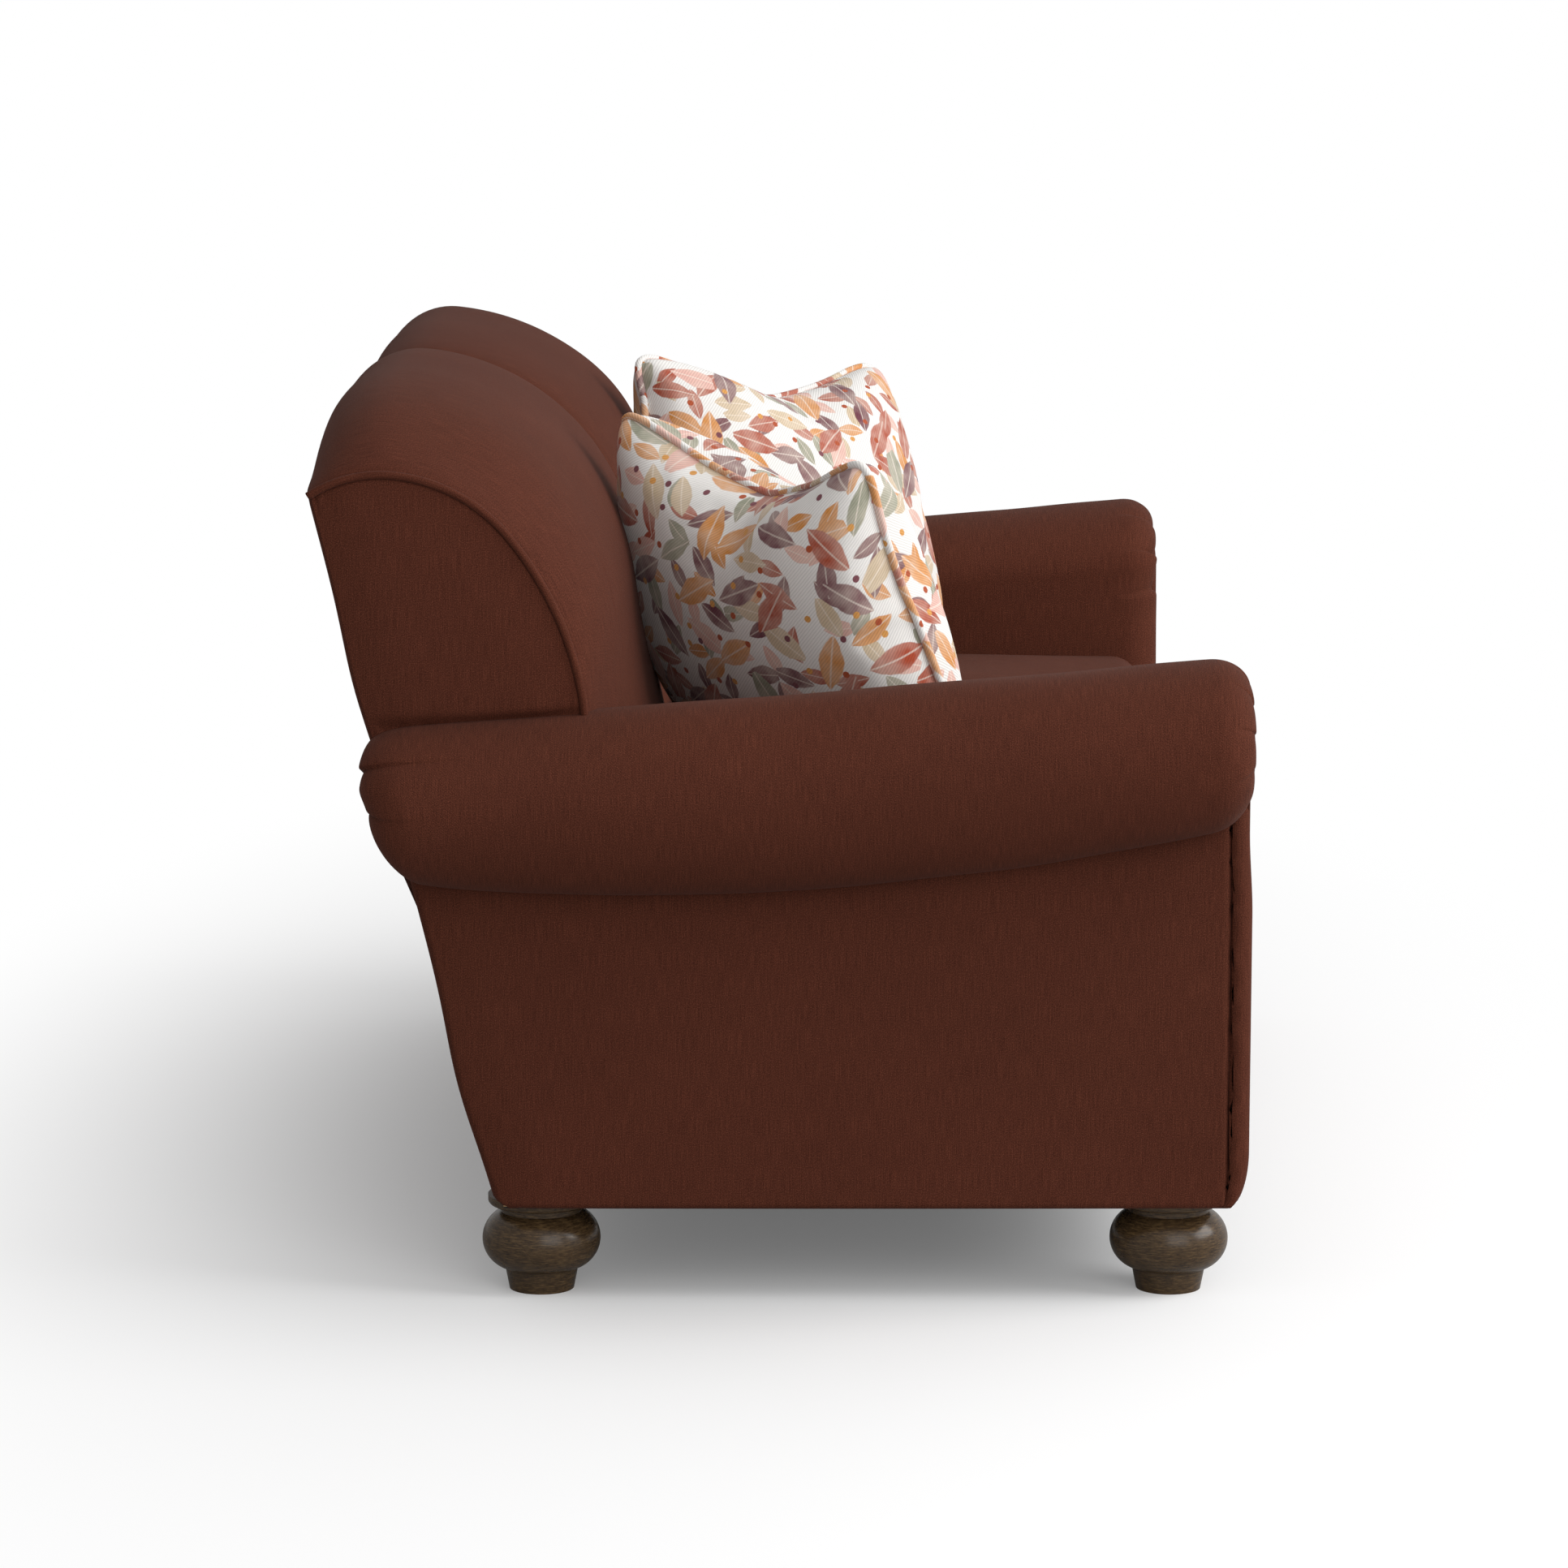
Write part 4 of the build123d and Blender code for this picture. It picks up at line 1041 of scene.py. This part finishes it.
def make_back():
    cord = end_outline(WELT_SET, WELT_FOOT)
    cord_path = np.insert(cord, 0, OUTER_X - WELT_TUCK, axis=1)
    cord_rings, cord_cloth = tube_rings(cord_path, WELT_RADIUS, False)
    end_points = end_face()
    for name, side in SIDES.items():
        rings, cloth = back_rings(FLANK_LIFT[name])
        mesh = mesh_from_rings(f"back_cover_{name}", ripple(rings, *BACK_UNEVEN), cloth, side)
        add_cover(mesh, (f"back_cushion_{name}",))
        mesh = faced_mesh(f"back_end_{name}", end_points, END_BACK, side)
        add_cover(mesh, (f"back_end_panel_{name}",))
        mesh = mesh_from_rings(f"back_cord_{name}", cord_rings, cord_cloth, side)
        add_cover(mesh, (f"back_welt_{name}",))
    mesh = faced_mesh("outside_back", back_face(), BACK_BOARD, across=0)
    add_cover(mesh, ("outside_back_panel",))
    make_lower_pad()


def make_lower_pad():
    low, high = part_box("lower_back_pad")
    corners = [(low.x, low.z), (high.x, low.z), (high.x, high.z), (low.x, high.z)]
    rings = panel_rings(densify(corners, PANEL_STEP), LOWER_PAD_THICK, LOWER_PAD_ROUND)

    def place(x, z, height):
        rear = rear_y(z) - LOWER_PAD_SET
        return (x, rear - (rear - low.y) * height / LOWER_PAD_THICK, z)

    add_cover(panel_mesh("lower_back_cover", rings, place), ("lower_back_pad",))


# Base
APRON_TUCK = 0.024
APRON_RISE = 0.008
APRON_ROUND = 0.012
APRON_BACK = (0.0, 0.004, 0.0)
DECK_THICK = 0.012
DECK_ROUND = 0.004
DECK_SET = 0.002


def make_apron():
    low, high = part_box("front_apron")
    half = high.x + APRON_TUCK
    top = high.z + APRON_RISE
    thick = SEAM_Y - low.y

    def point(z, x):
        away = min(half - abs(x), z - BASE_Z, top - z)
        return (x, front_pad(z, thick, APRON_ROUND, away), z)

    face = point_grid(point, eased(50, BASE_Z, top), eased(90, -half, half))
    add_cover(faced_mesh("apron_cover", face, APRON_BACK, across=0), ("front_apron",))


def make_deck():
    low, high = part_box("seat_deck")
    front = low.y + DECK_SET
    corners = [(low.x, front), (high.x, front), (high.x, high.y), (low.x, high.y)]
    rings = panel_rings(densify(corners, PANEL_STEP), DECK_THICK, DECK_ROUND)

    def place(x, y, height):
        return (x, y, float(deck_z(y)) - DECK_THICK + height)

    add_cover(panel_mesh("deck_cover", rings, place), ("seat_deck",))


# Seat cushions
SEAT_DEEP = 0.680
SEAT_THICK = 0.168
SEAT_HALF = 0.3130
SEAT_SET = 0.002
SEAT_LIFT = 0.001
SEAT_EDGE_DROP = 0.004
SEAT_EDGE_RISE = 0.010
SEAT_CROWN = 0.016
SEAT_CROWN_LEAST = 0.004
SEAT_BULGE = 0.003
SEAT_FRONT_ROUND = 0.038
SEAT_REAR_ROUND = 0.026
SEAT_BASE_ROUND = 0.016
SEAT_TOP_ROUND = 0.026
SEAT_FACE = ((0.05, 0.0078), (0.4, 0.0066), (0.7, 0.0042), (0.9, 0.0014))  # share of the front, how far out
SEAT_FACE_SHIFT = 0.2  # where the cloth of the front lies
SEAT_CLOTH_ACROSS = 0.35  # how far the cloth moves on with the height of the sides
SEAT_CLOTH_ALONG = 0.3
SEAT_UNEVEN = (0.0028, 0.14, 11)


def seat_loop(shrink, fullness):
    """Section across a seat cushion, anticlockwise from the middle of its underside."""
    half = SEAT_HALF - 0.6 * shrink
    low = SEAT_LIFT + 0.5 * shrink
    edge = SEAT_THICK - SEAT_EDGE_DROP + SEAT_EDGE_RISE * fullness - shrink
    crown = SEAT_CROWN * max(np.sqrt(fullness), 0.25) + SEAT_CROWN_LEAST
    base_x = half - SEAT_BASE_ROUND
    base_z = low + SEAT_BASE_ROUND
    top_x = half - SEAT_TOP_ROUND
    top_z = edge - SEAT_TOP_ROUND
    points = [(x, low) for x in np.linspace(0, base_x, 12)[:-1]]
    points += corner_run(base_x, base_z, SEAT_BASE_ROUND, -pi / 2)
    sides = np.linspace(base_z, top_z, 12)[1:-1]
    bulge = SEAT_BULGE * np.sin(np.linspace(0, pi, 12))[1:-1]
    points += [(half + swell, z) for z, swell in zip(sides, bulge)]
    points += corner_run(top_x, top_z, SEAT_TOP_ROUND, 0.0, 14)
    points += [(x, edge + crown * (1 - (x / top_x) ** 2)) for x in np.linspace(top_x, 0, 28)[1:]]
    mirrored = [(-x, z) for x, z in points[1:-1]][::-1]
    return np.array(points + mirrored)


def seat_stations():
    """Places along a seat cushion, front to rear, each with the section's shrink."""
    stations = []
    for angle in np.linspace(pi / 2, 0, 14):
        stations.append((SEAT_FRONT_ROUND * (1 - sin(angle)), SEAT_FRONT_ROUND * (1 - cos(angle))))
    for along in np.linspace(SEAT_FRONT_ROUND, SEAT_DEEP - SEAT_REAR_ROUND, 46)[1:]:
        stations.append((along, 0.0))
    for angle in np.linspace(0, pi / 2, 10)[1:]:
        along = SEAT_DEEP - SEAT_REAR_ROUND * (1 - sin(angle))
        stations.append((along, SEAT_REAR_ROUND * (1 - cos(angle))))
    return stations


def seat_rings():
    """Rings of a seat cushion, front to rear, and where their points lie in the cloth."""
    front_loop = seat_loop(SEAT_FRONT_ROUND, 0.0)
    center = front_loop.mean(axis=0)
    rings = []
    cloth = []
    for share, forward in SEAT_FACE:
        loop = center + (front_loop - center) * share
        rings.append(np.insert(loop, 1, -forward, axis=1))
        cloth.append(loop - (0.0, SEAT_FACE_SHIFT))
    for along, shrink in seat_stations():
        fullness = max(0.0, 1 - ((along - SEAT_DEEP / 2) / (SEAT_DEEP / 2)) ** 2)
        loop = seat_loop(shrink, fullness)
        x, z = loop.T
        rings.append(np.insert(loop, 1, along, axis=1))
        cloth.append(np.column_stack([x + SEAT_CLOTH_ACROSS * z, along + SEAT_CLOTH_ALONG * z]))
    return np.array(rings), np.array(cloth)


def make_seat():
    rings, cloth = seat_rings()
    x, y, z = np.moveaxis(ripple(rings, *SEAT_UNEVEN), 2, 0)
    placed = np.stack([
        x + INNER_X / 2,
        SEAM_Y + SEAT_SET + y * cos(SEAT_PITCH) + z * sin(SEAT_PITCH),
        DECK_Z - y * sin(SEAT_PITCH) + z * cos(SEAT_PITCH),
    ], axis=2)
    for name, side in SIDES.items():
        mesh = mesh_from_rings(f"seat_cushion_cover_{name}", placed, cloth, side)
        add_cover(mesh, (f"seat_cover_{name}", f"seat_core_{name}"), f"seat_cushion_{name}")


# Throw pillows
PILLOW_WIDE = 0.436
PILLOW_TALL = 0.388
PILLOW_THICK = 0.182
PILLOW_FULL = 0.43  # the lower, the fuller towards the edges
PILLOW_DRAW = 0.012
PILLOW_CORNER = 0.014
PILLOW_CORNER_POWER = 9
PILLOW_SLUMP = 0.0275
SLUMP_CENTER = -0.15
SLUMP_REACH = 0.85
PRESS_POWER = 1.1
DIP_POWER = 1.5
CHOP_DEPTH = 0.30
CHOP_WIDE = 0.30
GATHER_FOOT = -0.6
LEVEL_START = -0.2
PILLOW_TURN = radians(44)
PILLOW_LEAN = radians(19.5)
PILLOW_ROLL = radians(3)
PILLOW_WELT = 0.0046
PILLOW_CELLS = 48
PILLOW_FRAMES = 20
PILLOW_REACH = 0.009
REAR_PRINT_SHIFT = 0.57
PRINT_SHIFT = {"right": 0.0, "left": 1.37}
# How each pillow's top is pressed in: the dip between its top corners, how far the front and rear corner are
# drawn together, how far the front corner hangs down and how far the rear corner stands up
PILLOW_TOPS = {
    "left": {"dip": 0.064, "front": 0.042, "rear": -0.006, "drop": 0.012, "rise": 0.0},
    "right": {"dip": 0.038, "front": -0.003, "rear": -0.006, "drop": 0.0, "rise": 0.014},
}
CLOTH_SETTINGS = {
    "quality": 6,
    "mass": 0.25,
    "tension_stiffness": 18,
    "compression_stiffness": 18,
    "shear_stiffness": 6,
    "bending_stiffness": 0.35,
    "use_pressure": True,
    "uniform_pressure_force": 4.0,
    "shrink_min": -0.05,
}


def pillow_form(across, up, top):
    """A point of a pillow's face, from where it lies in the square, -1 to 1 each way."""
    pressed = max(0.0, 1 - abs(across) ** PRESS_POWER)
    drawn = top["dip"] * pressed if up > 0 else PILLOW_DRAW * (1 - across * across)
    gather = top["front"] if across > 0 else top["rear"]
    height = smooth_step(up, GATHER_FOOT, 1.0)
    slump = 0.0
    if across < 0:
        slump = PILLOW_SLUMP * max(0.0, cos(pi / 2 * (up - SLUMP_CENTER) / SLUMP_REACH))
    wide = PILLOW_WIDE / 2 - PILLOW_DRAW * (1 - up * up) - gather * height + slump
    shift = top["rise"] * smooth_step(-across, LEVEL_START, 1.0)
    shift -= top["drop"] * smooth_step(across, LEVEL_START, 1.0)
    tall = PILLOW_TALL / 2 - drawn * abs(up) ** DIP_POWER
    corner = PILLOW_CORNER * (abs(across) * abs(up)) ** PILLOW_CORNER_POWER
    rise = max(0.0, (1 - across * across) * (1 - up * up)) ** PILLOW_FULL
    chop = 1 - CHOP_DEPTH * np.exp(-((across / CHOP_WIDE) ** 2)) * smooth_step(up, 0.0, 1.0)
    x = across * (wide - corner)
    y = up * (tall - corner) + shift * height
    return (x, y, PILLOW_THICK / 2 * rise * chop)


def pillow_grid(top):
    """Points, faces and cloth places of a pillow: two faces that share their edge, and the edge itself."""
    steps = np.linspace(-1, 1, PILLOW_CELLS + 1)
    form = point_grid(lambda up, across: pillow_form(across, up, top), steps, steps)
    inside = form[1:-1, 1:-1].reshape(-1, 3)
    points = np.vstack([form.reshape(-1, 3), inside * (1.0, 1.0, -1.0)])
    front = np.arange(len(steps) ** 2).reshape(len(steps), len(steps))
    rear = front.copy()
    rear[1:-1, 1:-1] = front.size + np.arange(len(inside)).reshape(PILLOW_CELLS - 1, -1)
    cells = grid_faces(front)
    faces = cells + [cell[::-1] for cell in grid_faces(rear)]
    cloth = np.column_stack([cloth_run(form, 1).ravel(), cloth_run(form, 0).ravel()])
    front_places = cloth[np.concatenate(cells)]
    rear_places = cloth[np.concatenate([cell[::-1] for cell in cells])] + (REAR_PRINT_SHIFT, 0.0)
    edge = [front[r, c] for r, c in grid_rim(*front.shape)]
    return points, faces, np.vstack([front_places, rear_places]), edge


def blown_up(points, faces):
    """The pillow's cloth after a short pressure simulation, each point held near its place."""
    mesh = bpy.data.meshes.new("pillow_cloth_test")
    mesh.from_pydata(points.tolist(), [], faces)
    test = bpy.data.objects.new("pillow_cloth_test", mesh)
    scene.collection.objects.link(test)
    cloth = test.modifiers.new("Cloth", "CLOTH")
    for name, value in CLOTH_SETTINGS.items():
        setattr(cloth.settings, name, value)
    cloth.settings.effector_weights.gravity = 0.0
    cloth.point_cache.frame_start = 1
    cloth.point_cache.frame_end = PILLOW_FRAMES
    for step in range(1, PILLOW_FRAMES + 1):
        scene.frame_set(step)
    shaped = test.evaluated_get(bpy.context.evaluated_depsgraph_get())
    after = np.array([tuple(vertex.co) for vertex in shaped.data.vertices])
    scene.frame_set(1)
    bpy.data.objects.remove(test)
    bpy.data.meshes.remove(mesh)
    moved = after - points
    reach = np.linalg.norm(moved, axis=1)[:, None]
    return points + moved * np.minimum(1.0, PILLOW_REACH / np.maximum(reach, 1e-9))


def evened(path):
    """A closed path with its small kinks taken out."""
    for _ in range(2):
        path = (np.roll(path, 1, axis=0) + 2 * path + np.roll(path, -1, axis=0)) / 4
    return path


def pillow_place(points):
    """Places a right-hand pillow on its seat cushion, leaning into the corner."""
    across = Vector((cos(PILLOW_TURN), -sin(PILLOW_TURN), 0.0))
    level = Vector((-sin(PILLOW_TURN), -cos(PILLOW_TURN), 0.0))
    facing = level * cos(PILLOW_LEAN) + Vector((0.0, 0.0, sin(PILLOW_LEAN)))
    up = facing.cross(across)
    axes = Matrix((across, up, facing)).transposed()
    roll = Matrix.Rotation(-PILLOW_ROLL, 3, "Z")
    low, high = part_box("pillow_welt_right")
    center = (low + high) / 2
    return points @ np.array(axes @ roll).T + np.array(center)


def make_pillows():
    for name, side in SIDES.items():
        points, faces, places, rim = pillow_grid(PILLOW_TOPS[name])
        points = blown_up(points, faces)
        points[rim] = evened(points[rim])
        points = pillow_place(points)
        body = f"pillow_{name}"
        mesh = cloth_mesh(f"pillow_case_{name}", points, faces, places + PRINT_SHIFT[name], side)
        nodes = (f"pillow_cover_{name}", f"pillow_insert_{name}")
        case = add_piece(mesh, PILLOW_CLOTH, body, nodes)
        smooth = case.modifiers.new("smooth", "SUBSURF")
        smooth.levels = 1
        smooth.render_levels = 1
        cord_rings, cord_cloth = tube_rings(points[rim], PILLOW_WELT, True, 10)
        mesh = mesh_from_rings(f"pillow_cord_{name}", cord_rings, cord_cloth, side, capped=False)
        add_piece(mesh, PILLOW_CLOTH, body, (f"pillow_welt_{name}",))


# Pieces that keep their modelled form: the first words of their names, all others are frame wood
PLAIN_PIECES = {
    "foot_front": STAINED_WOOD,
    "foot_rear": STAINED_WOOD,
    "hanger_bolts": STEEL,
    "foot_inserts": STEEL,
    "seat_springs": STEEL,
    "spring_clips": STEEL,
    "dust_cover": LINING,
    "back_webbing": LINING,
}


def finish_plain_pieces():
    for node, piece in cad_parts.items():
        material = FRAME_WOOD
        for start, chosen in PLAIN_PIECES.items():
            if node.startswith(start):
                material = chosen
        piece.data.materials.clear()
        piece.data.materials.append(material)


# Surroundings
WHITE = grey(1.0)
FLOOR_HALF = 40.0
FLOOR_LIFT = 0.12  # share of plain white in the floor beside the loveseat
FLOOR_BOUNCE = 0.48
FLOOR_SEEN = 0.95
FLOOR_SHAPE = (0.5, 1.2, 0.0)  # how fast plain white comes, along the seat and front to rear
FLOOR_NEAR = 0.09
FLOOR_FAR = 0.38
FLOOR_REACH = 4.0
ROOM_FRONT = 0.80
ROOM_REAR = 0.37
LIGHT_TARGET = (0.0, 0.0, 0.4)
LIGHTS = {
    "key": {"place": (-1.2, -4.2, 3.2), "size": 3.6, "power": 200},
    "fill": {"place": (-4.5, -1.4, 2.0), "size": 3.0, "power": 47},
}
CAMERA_PLACE = (-6.265, -0.003, 1.450)
CAMERA_PITCH = 9.31  # degrees below level
LENS = 124.2
SENSOR = 36.0


def floor_material():
    """White floor that takes the object's shadow and runs out into plain white."""
    material, tree, shader = new_material("floor", 0.9, 0.1)
    seen = tree.nodes.new("ShaderNodeLightPath").outputs["Is Camera Ray"]
    set_inputs(tree, shader, {"Base Color": mix(tree, seen, grey(FLOOR_BOUNCE), grey(FLOOR_SEEN))})
    distance = vector_calc(tree, "LENGTH", stretched(tree, object_coordinates(tree), *FLOOR_SHAPE))
    stops = [(FLOOR_NEAR, grey(FLOOR_LIFT)), (FLOOR_FAR, WHITE)]
    far = ramp(tree, calc(tree, "DIVIDE", distance, FLOOR_REACH), stops, "EASE")
    white = new_node(tree, "Emission", {"Color": WHITE, "Strength": 1.0})
    share = calc(tree, "MULTIPLY", far, seen)
    blend = new_node(tree, "MixShader", {0: share, 1: shader.outputs[0], 2: white.outputs[0]})
    set_inputs(tree, tree.nodes["Material Output"], {"Surface": blend.outputs[0]})
    return material


def make_floor():
    mesh = bpy.data.meshes.new("floor")
    size = FLOOR_HALF
    corners = [(-size, -size, 0), (size, -size, 0), (size, size, 0), (-size, size, 0)]
    mesh.from_pydata(corners, [], [(0, 1, 2, 3)])
    mesh.materials.append(floor_material())
    floor = bpy.data.objects.new("floor", mesh)
    scene.collection.objects.link(floor)


def area_light(name, place, size, power):
    light = bpy.data.lights.new(name, "AREA")
    light.shape = "SQUARE"
    light.size = size
    light.energy = power
    lamp = bpy.data.objects.new(name, light)
    scene.collection.objects.link(lamp)
    lamp.location = place
    lamp.rotation_euler = (Vector(LIGHT_TARGET) - Vector(place)).to_track_quat("-Z", "Y").to_euler()


def make_lights():
    for name, values in LIGHTS.items():
        area_light(name, **values)
    world = bpy.data.worlds.new("studio")
    world.use_nodes = True
    scene.world = world
    tree = world.node_tree
    direction = tree.nodes.new("ShaderNodeTexCoord").outputs["Generated"]
    split = new_node(tree, "SeparateXYZ", {0: direction})
    light = grey_ramp(tree, split.outputs[1], -1.0, 1.0, ROOM_FRONT, ROOM_REAR)
    seen = tree.nodes.new("ShaderNodeLightPath").outputs["Is Camera Ray"]
    set_inputs(tree, tree.nodes["Background"], {"Color": mix(tree, seen, light, WHITE)})
    scene.view_settings.view_transform = "Standard"


def make_camera():
    data = bpy.data.cameras.new("camera")
    data.lens = LENS
    data.sensor_width = SENSOR
    camera = bpy.data.objects.new("camera", data)
    scene.collection.objects.link(camera)
    camera.location = CAMERA_PLACE
    camera.rotation_euler = (radians(90 - CAMERA_PITCH), 0.0, radians(-90))
    scene.camera = camera


finish_plain_pieces()
make_arms()
make_back()
make_apron()
make_deck()
make_seat()
make_pillows()
make_floor()
make_lights()
make_camera()
